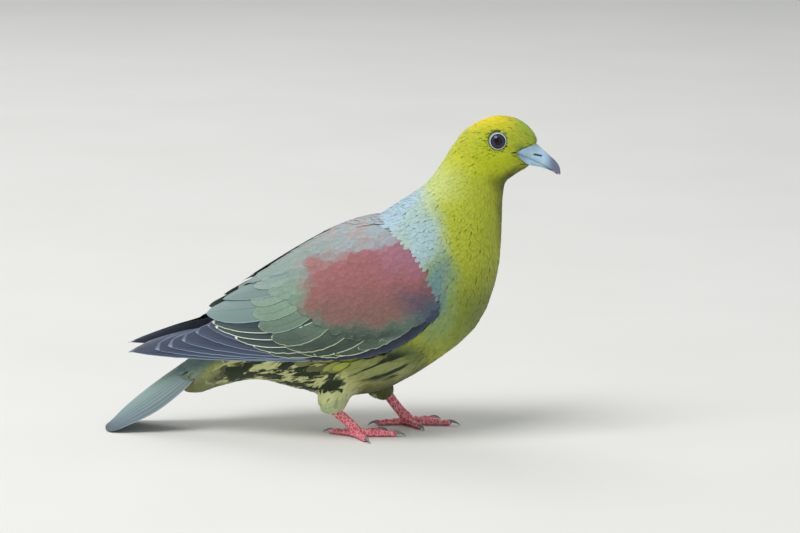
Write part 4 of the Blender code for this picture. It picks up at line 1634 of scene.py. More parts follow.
@dataclass
class Wing:
    """A folded wing: rows of coverts over flight feathers, all laid on the frame's wing."""

    side: Side
    slope: float = 27.0  # degrees by which the coverts point down behind
    covert_places: tuple[float, ...] = (-45.0, -20.0, -6.0, 10.0, 30.0, 50.0, 64.0)
    covert_lengths: tuple[float, ...] = (16.0, 15.0, 11.0, 7.6, 5.8, 4.8, 4.2)
    covert_end: float = -24.0
    border_places: tuple[float, ...] = (-24.0, -10.0, 0.0, 10.0, 20.0, 30.0, 45.0, 55.0, 64.0)
    border: tuple[float, ...] = (96.0, 82.0, 73.0, 66.0, 62.5, 62.0, 66.0, 71.0, 78.0)
    band_places: tuple[float, ...] = (-40.0, 0.0, 40.0, 60.0)
    band: tuple[float, ...] = (11.0, 27.0, 28.0, 16.0)  # how far down the scapulars grow
    scapular_places: tuple[float, ...] = (-40.0, 10.0, 60.0)
    scapular_lengths: tuple[float, ...] = (15.0, 12.0, 7.0)
    scapular_end: float = -34.0
    rim: float = 0.55  # breadth of the pale margin of a big feather
    overlap: float = 3.9  # length of a covert over its spacing
    scapular_overlap: float = 4.2
    flat: float = 0.33  # half width of a covert over its length
    left_tips: dict[Kind, Spot] = field(  # how far behind and above the right wing's
        default_factory=lambda: {Kind.PRIMARY: (-2.0, 3.0), Kind.TERTIAL: (-1.0, 1.2)}
    )

    def __post_init__(self) -> None:
        """Survey the frame's wing."""
        self.chart = WingChart(self.side)
        self.hand = -self.side.sign

    def build(self) -> list[tuple[bpy.types.Mesh, WingFinish]]:
        """Make the wing's pieces.

        Returns:
            Each piece's mesh with its finish.
        """
        small = [(self._coverts(), COVERTS), (self._scapulars(), COVERTS)]
        finishes = {k: WingFinish(k.value, *c, wine=0.0) for k, c in QUILL_COLOURS.items()}
        return small + [(self._quills(kind), finish) for kind, finish in finishes.items()]

    def _quills(self, kind: Kind) -> bpy.types.Mesh:
        """The big feathers of one kind.

        Args:
            kind: which.

        Returns:
            Their mesh.
        """
        vanes = Vanes(f"{kind.value}_{self.side.label}", 26, 11, 0.3, 0.15)
        v, u, chart = vanes.v[:, None], vanes.u, self.chart
        for quill in QUILLS[kind]:
            keys = [np.array((x, chart.way(x, z))) for x, z in (quill.root, quill.bend, quill.tip)]
            shaft = bezier(keys, v)
            if kind in self.left_tips and self.side is Side.LEFT:
                shaft = shaft + np.array(self.left_tips[kind]) * v**2
            ahead = unit(np.gradient(shaft, axis=0))
            across = np.stack([ahead[:, 1], -ahead[:, 0]], axis=1)
            wide = np.where(u < 0, quill.outer, quill.inner) * vane_width(v, 0.6, quill.blunt)
            flat = shaft[:, None] + across[:, None] * (wide * u)[..., None]
            if kind is Kind.COVERT or self.side is Side.RIGHT:
                flat[..., 1] = np.minimum(flat[..., 1], chart.crest(flat[..., 0]))
            point, normal = chart.at(flat[..., 0], flat[..., 1])
            rise = quill.layer - 0.4 * (1 - v) + 0.08 * (1 - u**2) - 0.2 * u
            top = point + normal * rise[..., None]
            mid = shaft[len(shaft) // 2]
            marks = np.array([[quill.margin, self.rim / quill.outer, 0.0]])
            vanes.add(top[None], normal[None], chart.unwrapped(*mid)[None], 0.05, marks, self.hand)
        return vanes.mesh(31)

    def _rows(
        self, name: str, roots: Array, length: Array, lift: float, tilt: float
    ) -> bpy.types.Mesh:
        """Small feathers in close rows.

        Args:
            name: the mesh's name.
            roots: x and way up the face, for each feather.
            length: of each feather.
            lift: height of the roots over the wing's face.
            tilt: how much higher the tips stand.

        Returns:
            The mesh.
        """
        draw = np.random.default_rng(len(name))
        vanes = Vanes(f"{name}_{self.side.label}")
        x, way = roots.T
        front = ease(x, 20.0, 60.0) * ease(way, 92.0, 70.0)
        angle = np.radians(self.slope + 8.0 * front + draw.normal(0, 4.0, len(x)))
        ahead = np.stack([-np.cos(angle), -np.sin(angle)], axis=1)
        across = np.stack([-np.sin(angle), np.cos(angle)], axis=1)
        length = length * draw.uniform(0.92, 1.08, len(x))
        v, u = vanes.v[None, :, None], vanes.u[None, None]
        wide = (length * self.flat)[:, None, None] * vane_width(v)
        flat = (
            roots[:, None, None]
            + ahead[:, None, None] * (length[:, None, None] * v)[..., None]
            + across[:, None, None] * (wide * u)[..., None]
        )
        crest = self.chart.crest(flat[..., 0])
        flat[..., 1] = np.minimum(flat[..., 1], crest)
        point, normal = self.chart.at(flat[..., 0], flat[..., 1])
        near = ease(crest - flat[..., 1], 0.0, 8.0)
        rise = lift + tilt * v * (0.3 + 0.7 * near) - 0.12 * v**6
        rise = rise + 0.04 * draw.normal(0, 1, (len(x), 1, 1)) + 0.02 * wide * (1 - u**2)
        low = ease(way, 78.0, 54.0) * ease(x, 52.0, 20.0)
        breadth = np.full(len(x), SMALL_MARGIN)
        marks = np.stack([0.10 + 0.75 * low, breadth, draw.random(len(x))], axis=1)
        top = point + normal * rise[..., None]
        vanes.add(top, normal, self.chart.unwrapped(x, way), 0.004, marks, self.hand)
        return vanes.mesh(32)

    def _field(self, seed: int) -> Array:
        """Candidate roots over the whole face.

        Args:
            seed: for the draws.

        Returns:
            Rows of x and way up.
        """
        draw, chart = np.random.default_rng(seed), self.chart
        x = draw.uniform(-46.0, chart.xs[-1] + 1.0, 30000)
        reach = np.interp(x, chart.xs, chart.lengths) + 4.0
        way = np.interp(x, chart.xs, chart.starts) + draw.random(len(x)) * reach - 1.0
        return np.stack([x, way], axis=1)

    def _coverts(self) -> bpy.types.Mesh:
        """The lesser and median coverts."""
        roots = self._field(5)
        x, way = roots.T
        roots = roots[(way > np.interp(x, self.border_places, self.border)) & (x > self.covert_end)]
        length = np.interp(roots[:, 0], self.covert_places, self.covert_lengths)
        picked = spread(np.pad(roots, ((0, 0), (0, 1))), length / self.overlap)
        return self._rows("coverts", roots[picked], length[picked], -0.35, 0.38)

    def _scapulars(self) -> bpy.types.Mesh:
        """The shoulder feathers, which hang from the back over the wing's upper edge."""
        roots = self._field(6)
        x, way = roots.T
        below = self.chart.crest(x) - way
        band = np.interp(x, self.band_places, self.band)
        roots = roots[(below > 0.8) & (below < band) & (x > self.scapular_end)]
        length = np.interp(roots[:, 0], self.scapular_places, self.scapular_lengths)
        picked = spread(np.pad(roots, ((0, 0), (0, 1))), length / self.scapular_overlap)
        return self._rows("scapulars", roots[picked], length[picked], -0.2, 0.36)


@dataclass
class Back:
    """The feathers along the middle of the back, which close the join between the folded wings."""

    front: float = 40.0
    rear: float = -36.0
    level: float = 26.0  # from here on the join grows no wider
    climb: float = 0.12  # slope of the back before that
    crown: float = 0.2  # slope of the wings' tops toward the middle
    lap: float = 1.5  # how far the feathers reach over either wing
    spacing: float = 2.8
    length: float = 11.0
    half: float = 3.4  # half width of a feather
    stray: float = 4.0  # degrees by which feathers leave the common lie
    splay: float = 12.0  # degrees by which those at the edges point outward
    margin: float = 0.1

    def __post_init__(self) -> None:
        """Read the edge of the join off the frame's wing."""
        chart = WingChart(Side.RIGHT)
        here = chart.xs < self.level
        self.xs, self.top = chart.xs[here], chart.grid[here, -1]

    def _half(self, x: Array) -> Array:
        """Half the breadth of the roof over the join at each x."""
        return np.interp(x, self.xs, -self.top[:, 1]) + self.lap

    def _sheet(self, x: Array, y: Array) -> Array:
        """Points of the roof over the join."""
        z = np.interp(x, self.xs, self.top[:, 2]) + self.climb * np.maximum(x - self.level, 0.0)
        half = self._half(x)
        return np.stack([x, y, z + self.crown * half / 2 * (1 - (y / half) ** 2)], axis=-1)

    def build(self) -> bpy.types.Mesh:
        """Make the feathers."""
        draw = np.random.default_rng(8)
        x = draw.uniform(self.rear, self.front, 6000)
        y = draw.uniform(-1.0, 1.0, len(x)) * self._half(x)
        picked = spread(np.stack([x, y, 0 * x], axis=1), np.full(len(x), self.spacing))
        x, y = x[picked], y[picked]
        turn = draw.normal(0, self.stray, len(x)) + self.splay * y / self._half(x)
        turn = np.radians(turn)[:, None, None]
        vanes = Vanes("back_feathers", along=8)
        v, u = vanes.v[None, :, None], vanes.u[None, None]
        wide = self.half * vane_width(v) * u
        x = x[:, None, None] - self.length * v * np.cos(turn) + wide * np.sin(turn)
        y = y[:, None, None] + self.length * v * np.sin(turn) + wide * np.cos(turn)
        point, small = self._sheet(x, y), 0.05
        along, over = self._sheet(x + small, y) - point, self._sheet(x, y + small) - point
        normal = unit(np.cross(along, over))
        rise = -0.6 + 0.8 * v + 0.04 * draw.normal(0, 1, (len(picked), 1, 1)) + 0 * wide
        root = point[:, 0, 2]
        along = 0.03 + 0.94 * (root[:, 0] + 60.0) / 110.0
        home = np.stack([along, 0.5 + root[:, 1] / 40.0], axis=1)
        marks = np.tile((self.margin, SMALL_MARGIN, 0.5), (len(picked), 1))
        vanes.add(point + normal * rise[..., None], normal, home, 0.01, marks)
        return vanes.mesh(33)


# ---- tail


@dataclass(frozen=True)
class TailFinish:
    """Blue-grey green vanes, finely edged, darker toward the outer edges and toward the tip, where
    part of the dark is painted shade.
    """

    barbs: float = 30.0
    slant: float = 5.0

    def material(self) -> bpy.types.Material:
        """The finish as a material."""
        dresser = Dresser("tail_vane", Sheen_Weight=0.15, Specular_IOR_Level=0.35)
        u, v, chance = dresser.split(dresser.field("vane"))
        strength, _, outer = dresser.split(dresser.field("marks"))
        aside = dresser.math("ABSOLUTE", u)
        grain = dresser.noise(dresser.place(), 400.0, 3.0)
        colour = dresser.mix(dresser.ramp(v, 0.25, 0.95), tint(134, 158, 150), tint(106, 128, 142))
        # the tip's own darker colour, deepened as painted shade
        colour = dresser.mix(dresser.ramp(v, 0.6, 0.95) * 0.85, colour, tint(44, 52, 68))
        colour = dresser.mix(outer * 0.6, colour, tint(68, 78, 96))
        rim = dresser.ramp(aside + 0.04 * grain, 0.9, 0.99)
        colour = dresser.mix(rim * strength, colour, tint(176, 194, 196))
        shaft = dresser.ramp(aside, 0.06, 0.02)
        barb = dresser.barbs(v, aside, self.slant, self.barbs)
        shade = (0.94 + 0.12 * chance) * (1 + 0.025 * barb) * (1 - 0.2 * shaft)
        normal = dresser.bump(barb * 0.25 + shaft * 1.5 + grain * 0.5, 0.3, 0.1)
        dresser.dress(dresser.scaled(colour, shade), 0.48 + 0.16 * grain, normal)
        return dresser.material


@dataclass
class Tail:
    """The closed tail: long feathers laid side by side as a low roof, the middle pair on top."""

    ridge: tuple[Point, ...] = (  # x, height and how far the roof's edge drops
        (-60.0, 50.6, 5.0), (-74.0, 44.6, 7.5), (-88.0, 35.8, 10.2), (-104.6, 23.6, 10.6),
        (-118.0, 12.4, 7.4), (-125.0, 5.3, 4.0), (-128.4, 2.1, 1.9), (-129.6, 1.1, 0.5),
    )
    half_places: tuple[float, ...] = (0.0, 0.6, 1.0)
    halves: tuple[float, ...] = (11.5, 18.4, 19.5)  # half the roof's breadth
    slope: float = 36.0  # degrees
    roof: float = 1.7
    pairs: int = 6
    width: float = 7.6  # half of a feather
    step: float = 1.9  # from one feather's shaft to the next
    gather: float = 0.45  # how close the shafts start, over that
    layer: float = 0.15
    lowest: float = 0.3
    rows: int = 60

    def _at(self, share: Array, aside: Array) -> tuple[Array, Array]:
        """Points of the roof and its normals.

        Args:
            share: how far down the tail.
            aside: distance from its middle.

        Returns:
            Points and normals.
        """
        rows = along_rows(self.ridge, self.rows)
        x, z, drop = (np.interp(share, np.linspace(0, 1, self.rows), row) for row in rows.T)
        half = np.interp(share, self.half_places, self.halves)
        fall = drop * (np.abs(aside) / half) ** self.roof
        sine, cosine = math.sin(math.radians(self.slope)), math.cos(math.radians(self.slope))
        point = np.stack([x + fall * sine, aside, z - fall * cosine], axis=-1)
        lean = np.arctan(drop * self.roof * np.abs(aside) ** (self.roof - 1) / half**self.roof)
        lean = lean * np.sign(aside)
        up = np.stack([-sine * np.cos(lean), np.sin(lean), cosine * np.cos(lean)], axis=-1)
        return point, unit(up)

    def build(self) -> bpy.types.Mesh:
        """Make the tail's feathers."""
        vanes = Vanes("tail_feathers", 30, 11, 0.3, 0.1)
        v, u = vanes.v[:, None], vanes.u
        spreading = self.gather + (1 - self.gather) * ease(v, 0.0, 0.7)
        for number in range(self.pairs, -1, -1):
            for side in (Side.RIGHT, Side.LEFT) if number else (Side.RIGHT,):
                middle = side.sign * number * self.step * spreading
                aside = middle - self.width * vane_width(v, 0.6, 0.72) * u
                share = v * (0.985 - 0.012 * number**1.35) + 0 * aside
                point, normal = self._at(share, aside)
                rise = -self.layer * number - 0.1 + 0.04 * (1 - u**2)
                top = point + normal * rise[..., None]
                floor = self.lowest + 0.13 * (self.pairs - number)
                top[..., 2] = np.maximum(top[..., 2], floor)
                home = np.array([[0.5 + 0.06 * side.sign * number, 0.5]])
                marks = np.array([[0.22, 0.07, number / self.pairs]])
                vanes.add(top[None], normal[None], home, 0.055, marks)
        return vanes.mesh(41)


# ---- bill


@dataclass(frozen=True)
class BillFinish:
    """Pale blue skin and horn, grey-violet toward the tip, with dark nostrils."""

    nostril: tuple[Spot, Spot]

    def material(self) -> bpy.types.Material:
        """The finish as a material."""
        dresser = Dresser("bill_horn", Specular_IOR_Level=0.4, Subsurface_Weight=0.05)
        place = dresser.place()
        x, _, z = dresser.split(dresser.folded(place))
        x, z = x / MM, z / MM
        cloud = dresser.noise(place, 350.0, 3.0)
        fine = dresser.noise(place, 1800.0, 3.0)
        colour = dresser.mix(cloud, tint(142, 184, 212), tint(196, 222, 238))
        grey = dresser.ramp(x + 2.5 * cloud, 120.5, 127.0)
        colour = dresser.mix(grey, colour, tint(104, 120, 148))
        colour = dresser.mix(dresser.ramp(x, 126.5, 129.5) * 0.6, colour, tint(138, 130, 146))
        (ax, az), (bx, bz) = self.nostril
        run, rise = bx - ax, bz - az
        size = math.hypot(run, rise)
        ahead = ((x - ax) * run + (z - az) * rise) / size
        aside = dresser.math("ABSOLUTE", (x - ax) * (-rise / size) + (z - az) * (run / size))
        slit = dresser.ramp(aside, 0.75, 0.25) * dresser.ramp(ahead, -0.4, 0.4)
        slit = slit * dresser.ramp(ahead, size + 0.3, size - 0.6)
        colour = dresser.mix(slit, colour, tint(40, 44, 56))
        dresser.dress(colour, 0.34 + 0.2 * cloud, dresser.bump(fine + cloud, 0.35, 0.12))
        return dresser.material


@dataclass
class Bill:
    """The bill: an upper half with a soft base, a nostril and a hooked tip, and a lower half."""

    face: Face
    culmen: tuple[Spot, ...] = (
        (115.9, 165.0), (117.6, 163.5), (119.4, 161.8),
        (121.8, 159.6), (124.4, 157.4), (126.6, 155.3),
        (128.2, 153.0), (129.0, 150.6), (129.2, 148.0),
    )
    mouth: tuple[Point, ...] = (  # x, height and half width of the bill
        (104.6, 160.9, 7.4), (106.2, 160.0, 6.5), (108.6, 158.9, 5.4),
        (111.8, 157.5, 4.7), (115.4, 155.7, 4.2), (119.2, 153.7, 3.6),
        (122.6, 151.8, 2.9), (125.8, 150.0, 2.1), (128.5, 147.9, 0.7),
    )
    keel: tuple[Spot, ...] = (
        (113.0, 152.7), (114.8, 152.5), (116.6, 152.2),
        (118.4, 151.8), (120.3, 151.3), (122.2, 150.7),
        (124.0, 150.1), (125.8, 149.4), (127.3, 148.7),
    )
    nostril: tuple[Spot, Spot] = ((114.3, 159.8), (118.9, 158.6))
    side_limit: float = 1.2  # nearer the middle than this nothing belongs to a nostril
    rows: int = 60
    columns: int = 21
    meeting: float = 0.12  # height of the gap along the mouth
    bulges: tuple[float, float] = (1.25, 1.15)  # how round the sides are, above and below
    bend: float = 0.22  # where the sides bend, between the middle line and the mouth
    root: float = 0.24  # share of the length over which the bill grows out of the face
    lower_width: float = 0.93  # over the upper half's

    def _out(self, tree: BVHTree, side: Side, x: float, z: float) -> float:
        """How far out the frame's face is at a place seen from the side."""
        hit = tree.ray_cast(Vector((x, side.sign * 40.0, z)), Vector((0.0, -side.sign, 0.0)))[0]
        return abs(hit.y) if hit is not None else 0.0

    def _half(
        self, tree: BVHTree, top: Array, edge: Array, foot: tuple[Spot, Spot], bulge: float
    ) -> Array:
        """One half of the bill as rows from the right edge over the middle to the left edge.

        Args:
            tree: the frame's head.
            top: the middle line, in x and height.
            edge: the mouth line, in x, height and half width.
            foot: where the feathers end at the middle and at the mouth.
            bulge: how round the sides are.

        Returns:
            Points as rows by columns by 3.
        """
        grid = np.zeros((len(top), self.columns, 3))
        (top_x, top_z), (edge_x, edge_z, wide) = top.T, edge.T
        share = ease(np.linspace(0.0, 1.0, len(top)), 0.0, self.root)[:, None]
        (x0, z0), (x1, z1) = foot
        for j, place in enumerate(np.linspace(-1.0, 1.0, self.columns)):
            side = Side.LEFT if place > 0 else Side.RIGHT
            b = abs(place)
            middle = np.stack([top_x, 0 * top_x, top_z], axis=1)
            rim = np.stack([edge_x, side.sign * wide, edge_z], axis=1)
            lean_z = top_z + self.bend * (edge_z - top_z)
            lean = np.stack([(top_x + edge_x) / 2, side.sign * wide * bulge, lean_z], axis=1)
            line = bezier((middle, lean, rim), np.array([b]))
            x, z = x0 + (x1 - x0) * b, z0 + (z1 - z0) * b
            z += self.face.bow(x, foot[0]) * (1 if z0 > z1 else -1)
            out = self._out(tree, side, x - 0.2, z) * min(1.0, b / 0.25) ** 0.5
            base = np.array((x, side.sign * (out + 0.05), z))
            grid[:, j] = base * (1 - share) + line * share
        return grid

    def _closed(self, name: str, grid: Array) -> bpy.types.Mesh:
        """A half as a closed body, with a flat palate between its edges."""
        palate = (grid[:, :1] + grid[:, -1:]) / 2
        return body_of_rings(name, np.concatenate([grid, palate], axis=1))

    def build(self) -> list[tuple[bpy.types.Mesh, str]]:
        """Make both halves.

        Returns:
            Each mesh with the frame node that it stands for.
        """
        tree, face = node_tree("head"), self.face
        top = along_rows(self.culmen, self.rows)
        edge = along_rows(self.mouth, self.rows)
        keel = along_rows(self.keel, self.rows)
        upper = self._half(tree, top, edge, (face.culmen, face.gape), self.bulges[0])
        low = edge.copy()
        low[:, 1] -= self.meeting
        low[:, 2] = np.maximum(low[:, 2] * self.lower_width, 0.3)
        end = self.keel[-1][0] + 0.3
        low[:, 0] = np.minimum(low[:, 0], np.linspace(low[0, 0], end, self.rows))
        gape = (face.gape[0] + 0.2, face.gape[1] - self.meeting)
        lower = self._half(tree, keel, low, (face.chin, gape), self.bulges[1])
        return [
            (self._closed("upper_bill", self._carved(upper)), "bill_upper"),
            (self._closed("lower_bill", lower[:, ::-1]), "bill_lower"),
        ]

    def _carved(self, grid: Array) -> Array:
        """The upper half with its nostrils let in under a low swelling.

        Args:
            grid: its points, which are changed.

        Returns:
            The same points.
        """
        start, end = (np.array(p) for p in self.nostril)
        line = end - start
        off = grid[..., [0, 2]] - start
        along = np.clip((off @ line) / (line @ line), 0.0, 1.0)
        gap = off - along[..., None] * line
        away = np.linalg.norm(gap, axis=-1)
        above = (gap @ np.array((-line[1], line[0]))) / np.linalg.norm(line)
        sides = np.abs(grid[..., 1]) > self.side_limit
        slit = np.exp(-((away / 0.5) ** 2)) * sides
        swell = np.exp(-(((above - 1.4) / 1.3) ** 2)) * np.exp(-((away / 2.8) ** 2)) * sides
        grid[..., 1] -= np.sign(grid[..., 1]) * (0.75 * slit - 0.35 * swell)
        return grid


# ---- eyes


@dataclass
class Eye:
    """An eye: a polished ball with a dark iris, set in a ring of bare pale lid."""

    side: Side
    centre: Point = (94.2, 9.1, 167.6)
    ball: float = 5.2
    opening: float = 4.1  # radius of the visible part of the ball
    ring: float = 4.85  # outer radius of the lid
    lean: Point = (0.1, 1.0, 0.08)  # where it looks on the left side
    dome: float = 0.035  # how far the clear front swells, over the ball
    # places across the lid, over its width, and their heights
    fold: tuple[Spot, ...] = ((0.12, 0.36), (0.3, 0.4), (0.45, 0.2), (0.6, 0.22), (0.85, 0.0))
    weld: float = 0.002

    def __post_init__(self) -> None:
        """Work out where the eye is and how it is turned."""
        self.middle = self.side.mirror(self.centre)
        self.look = unit(self.side.mirror(self.lean))
        self.wide = self.ring - self.opening

    def _turned(self, name: str, profile: Array, segments: int) -> bpy.types.Mesh:
        """A closed body turned about the way the eye looks.

        Args:
            name: the start of the mesh's name.
            profile: pairs of distance from the axis and height along it, closed on itself.
            segments: around the axis.

        Returns:
            The mesh.
        """
        over = unit(np.cross(self.look, (1.0, 0.0, 0.0)))
        aside = np.cross(self.look, over)
        turn = np.linspace(0, 2 * math.pi, segments, endpoint=False)
        spoke = np.outer(np.cos(turn), over) + np.outer(np.sin(turn), aside)
        out, up = profile[None, :, :1], profile[None, :, 1:]
        points = self.middle + spoke[:, None] * out + self.look * up
        faces = ring_faces(segments, len(profile))
        seam = np.arange(len(profile))
        after, last = np.roll(seam, -1), (segments - 1) * len(profile)
        faces = np.concatenate([faces, np.stack([last + seam, last + after, after, seam], axis=1)])
        name = f"{name}_{self.side.label}"
        shape = bmesh.new()
        shape.from_mesh(mesh_of(name + "_shell", points.reshape(-1, 3), faces))
        bmesh.ops.remove_doubles(shape, verts=shape.verts, dist=self.weld * MM)
        bmesh.ops.dissolve_degenerate(shape, edges=shape.edges, dist=self.weld / 2 * MM)
        bmesh.ops.recalc_face_normals(shape, faces=shape.faces)
        return mesh_from(name, shape)

    def ball_mesh(self) -> bpy.types.Mesh:
        """The eyeball, with the low dome of its clear front."""
        turn = np.linspace(0.0, math.pi, 40)
        swell = 1 + self.dome * np.exp(-((turn / 0.5) ** 2))
        front = np.stack([np.sin(turn), np.cos(turn)], axis=1) * (self.ball * swell)[:, None]
        front[0, 0] = front[-1, 0] = 0.0
        return self._turned("eyeball", np.concatenate([front, [[0.0, 0.0]]]), 56)

    def lid_mesh(self) -> bpy.types.Mesh:
        """The lid: a soft ring with a fine fold, which hugs the ball and dips under feathers."""
        base = math.sqrt(self.ball**2 - self.opening**2)
        profile = (
            (self.opening - 0.15, base - 0.5),
            (self.opening - 0.02, base + 0.12),
            *((self.opening + share * self.wide, base + rise) for share, rise in self.fold),
            (self.ring, base - 0.35),
            (self.ring + 0.5, base - 1.1),
            (self.ring + 0.5, base - 2.2),
            (self.opening + 0.2 * self.wide, base - 2.2),
        )
        return self._turned("eyelid", np.array(profile), 64)

    def ball_finish(self) -> bpy.types.Material:
        """Polished black pupil, a thin dark red ring and a violet-blue iris."""
        dresser = Dresser(f"eye_polish_{self.side.label}", Specular_IOR_Level=0.28)
        away = dresser.from_line(self.middle, self.look)
        grain = dresser.noise(dresser.place(), 2600.0, 2.0)
        iris = dresser.mix(grain, tint(26, 26, 52), tint(60, 64, 108))
        colour = dresser.mix(dresser.ramp(away + 0.4 * grain, 3.1, 2.5), iris, tint(62, 34, 42))
        colour = dresser.mix(dresser.ramp(away, 2.2, 1.95), colour, (0.002, 0.002, 0.003))
        colour = dresser.mix(dresser.ramp(away, 3.5, 3.95), colour, tint(18, 18, 32))
        dresser.dress(colour, 0.04)
        return dresser.material

    def lid_finish(self) -> bpy.types.Material:
        """Pale blue-white bare skin with fine pores and a grey fold."""
        dresser = Dresser(f"eyelid_skin_{self.side.label}", Specular_IOR_Level=0.3)
        away = dresser.from_line(self.middle, self.look)
        pores = dresser.noise(dresser.place(), 3000.0, 3.0)
        colour = dresser.mix(pores, tint(170, 190, 188), tint(206, 218, 210))
        edge, wide = self.opening, self.wide
        outer = dresser.ramp(away, edge + 0.6 * wide, edge + 0.9 * wide)
        colour = dresser.mix(outer, colour, tint(120, 140, 122))
        colour = dresser.mix(dresser.ramp(away, edge + 0.14, edge), colour, tint(60, 66, 88))
        dresser.dress(colour, 0.5, dresser.bump(pores, 0.4, 0.08))
        return dresser.material


# ---- feet


@dataclass(frozen=True)
class Toe:
    """A toe on the floor: its heading in degrees from +X toward the outer side, and its sizes."""

    name: str
    heading: float
    length: float
    radius: float
    claw: float


@dataclass
class Foot:
    """A bare scaled foot, its shank and its four claws."""

    side: Side
    joint: Spot  # x and distance from the middle
    shank_top: Spot
    toes: tuple[Toe, ...]
    knuckle: float = 4.6
    shank_radius: float = 3.0
    taper: float = 0.74
    height: float = 0.84
    pads: int = 3
    pad: float = 0.08  # how far a pad swells, over the toe's radius
    toe_scute: tuple[float, float] = (1.75, 0.26)  # length and height
    shank_scute: tuple[float, float] = (2.0, 0.24)
    web: Point = (4.3, 2.3, 2.0)  # half width, half height and height of the ball of the foot
    sole: float = 0.12  # what is lower than this lies on the floor
    voxel: float = 0.3
    claw_radius: float = 1.12
    claw_rise: float = 18.0
    claw_curl: float = 64.0

    def _ahead(self, toe: Toe) -> Array:
        """The way a toe points."""
        angle = math.radians(toe.heading)
        return np.array((math.cos(angle), self.side.sign * math.sin(angle), 0.0))

    def _place(self) -> Array:
        """The joint's place on the floor."""
        return self.side.mirror((*self.joint, 0.0))

    @staticmethod
    def _scutes(reach: Array, scute: tuple[float, float]) -> Array:
        """How much the overlapping scutes add to a radius, at places along a toe or the shank."""
        length, height = scute
        return height * (((reach / length) % 1.0) ** 0.8 - 0.5)

    @staticmethod
    def _tube(path: Array, radii: Array, steps: int, ridge: Array) -> Array:
        """Rings round a path.

        Args:
            path: its points.
            radii: one for each point.
            steps: points in a ring.
            ridge: extra radius on top at each point.

        Returns:
            Rings of points.
        """
        ahead = unit(np.gradient(path, axis=0))
        steep = np.abs(ahead[:, 2:]) > 0.9
        side = unit(np.cross(ahead, np.where(steep, (0.0, 1.0, 0.0), (0.0, 0.0, 1.0))))
        up = np.cross(side, ahead)
        turn = np.linspace(0, 2 * math.pi, steps, endpoint=False)
        size = radii[:, None] + ridge[:, None] * np.clip(np.sin(turn) + 0.25, 0, 1)
        return (
            path[:, None]
            + side[:, None] * (np.cos(turn) * size)[..., None]
            + up[:, None] * (np.sin(turn) * size)[..., None]
        )

    def _toe(self, toe: Toe) -> bpy.types.Mesh:
        """A toe with overlapping scutes on top and pads below.

        Args:
            toe: its sizes.

        Returns:
            Its mesh.
        """
        t = np.linspace(-0.09, 1.0, 90)
        pads = self.pad * np.cos(2 * math.pi * self.pads * t)
        radii = toe.radius * (1 + (self.taper - 1) * t) * (1 + pads)
        end = np.clip((t - 0.93) / 0.07, 0, 1)
        radii = radii * np.sqrt(np.maximum(1 - 0.8 * end**2, 0.05))
        ridge = self._scutes(t * toe.length, self.toe_scute) * (1 - end)
        path = self._place() + np.outer(t * toe.length, self._ahead(toe))
        path[:, 2] = radii * self.height
        return body_of_rings(f"toe_{toe.name}", self._tube(path, radii * 0.97, 26, ridge))

    def _shank(self) -> bpy.types.Mesh:
        """The shank from the feathers down into the foot, scuted in front."""
        x, y, _ = self._place()
        top_x, top_z = self.shank_top
        rows = (
            (top_x - 1.5, top_z + 5.0, self.shank_radius * 0.9),
            (top_x, top_z, self.shank_radius * 0.95),
            (x - 4.0, self.knuckle + 4.2, self.shank_radius * 0.92),
            (x, self.knuckle, 3.05),
            (x + 2.8, 3.0, 2.2),
        )
        keys = along_rows(rows, 70)
        path = np.stack([keys[:, 0], np.full(len(keys), y), keys[:, 1]], axis=1)
        ridge = self._scutes(run_of(path), self.shank_scute)
        return body_of_rings("shank", self._tube(path, keys[:, 2], 28, ridge))

    def _web(self) -> bpy.types.Mesh:
        """The ball of the foot, which fills the corners between the toes."""
        turn = np.linspace(0.05, math.pi - 0.05, 14)
        spin = np.linspace(0, 2 * math.pi, 24, endpoint=False)
        wide, high, up = self.web
        x = np.outer(np.sin(turn), np.cos(spin)) * wide
        y = np.outer(np.sin(turn), np.sin(spin)) * wide
        z = np.outer(np.cos(turn), np.ones(24)) * high + up
        rings = np.stack([x, y, z], axis=-1) + self._place() + np.array((0.8, 0.0, 0.0))
        return body_of_rings("web", rings)

    def build(self) -> bpy.types.Mesh:
        """Make the foot's one body, with a flat sole."""
        parts = [self._toe(toe) for toe in self.toes] + [self._shank(), self._web()]
        mesh = fused(f"foot_shell_{self.side.label}", merged("foot_parts", parts), self.voxel)
        points, faces, edges = mesh_arrays(mesh)
        points = relaxed(points, edges, 2, 0.5)
        points[:, 2] = np.where(points[:, 2] < self.sole, 0.0, points[:, 2])
        return mesh_of(f"foot_{self.side.label}_skin", points, faces)

    def claws(self) -> list[tuple[bpy.types.Mesh, str]]:
        """Make the claws.

        Returns:
            Each mesh with the frame node that it stands for.
        """
        made = []
        t = np.linspace(0.0, 1.0, 26)
        slope = np.radians(self.claw_rise - self.claw_curl * t)
        radii = self.claw_radius * (1 - 0.9 * t**1.4)
        for toe in self.toes:
            ahead = self._ahead(toe)
            tip = toe.radius * self.taper
            reach = toe.claw + tip
            steps = np.stack([np.cos(slope), np.sin(slope)], axis=1) * reach / (len(t) - 1)
            run = np.cumsum(steps, axis=0) - steps[0]
            path = self._place() + ahead * (toe.length - tip) + np.array((0, 0, 1.25 * tip))
            path = path + np.outer(run[:, 0], ahead) + np.outer(run[:, 1], (0, 0, 1))
            rings = self._tube(path, radii, 16, 0 * t)
            rings[..., 2] = np.maximum(rings[..., 2], 0.1)
            node = f"claw_{self.side.label}_{toe.name}"
            made.append((body_of_rings(node + "_horn", rings), node))
        return made


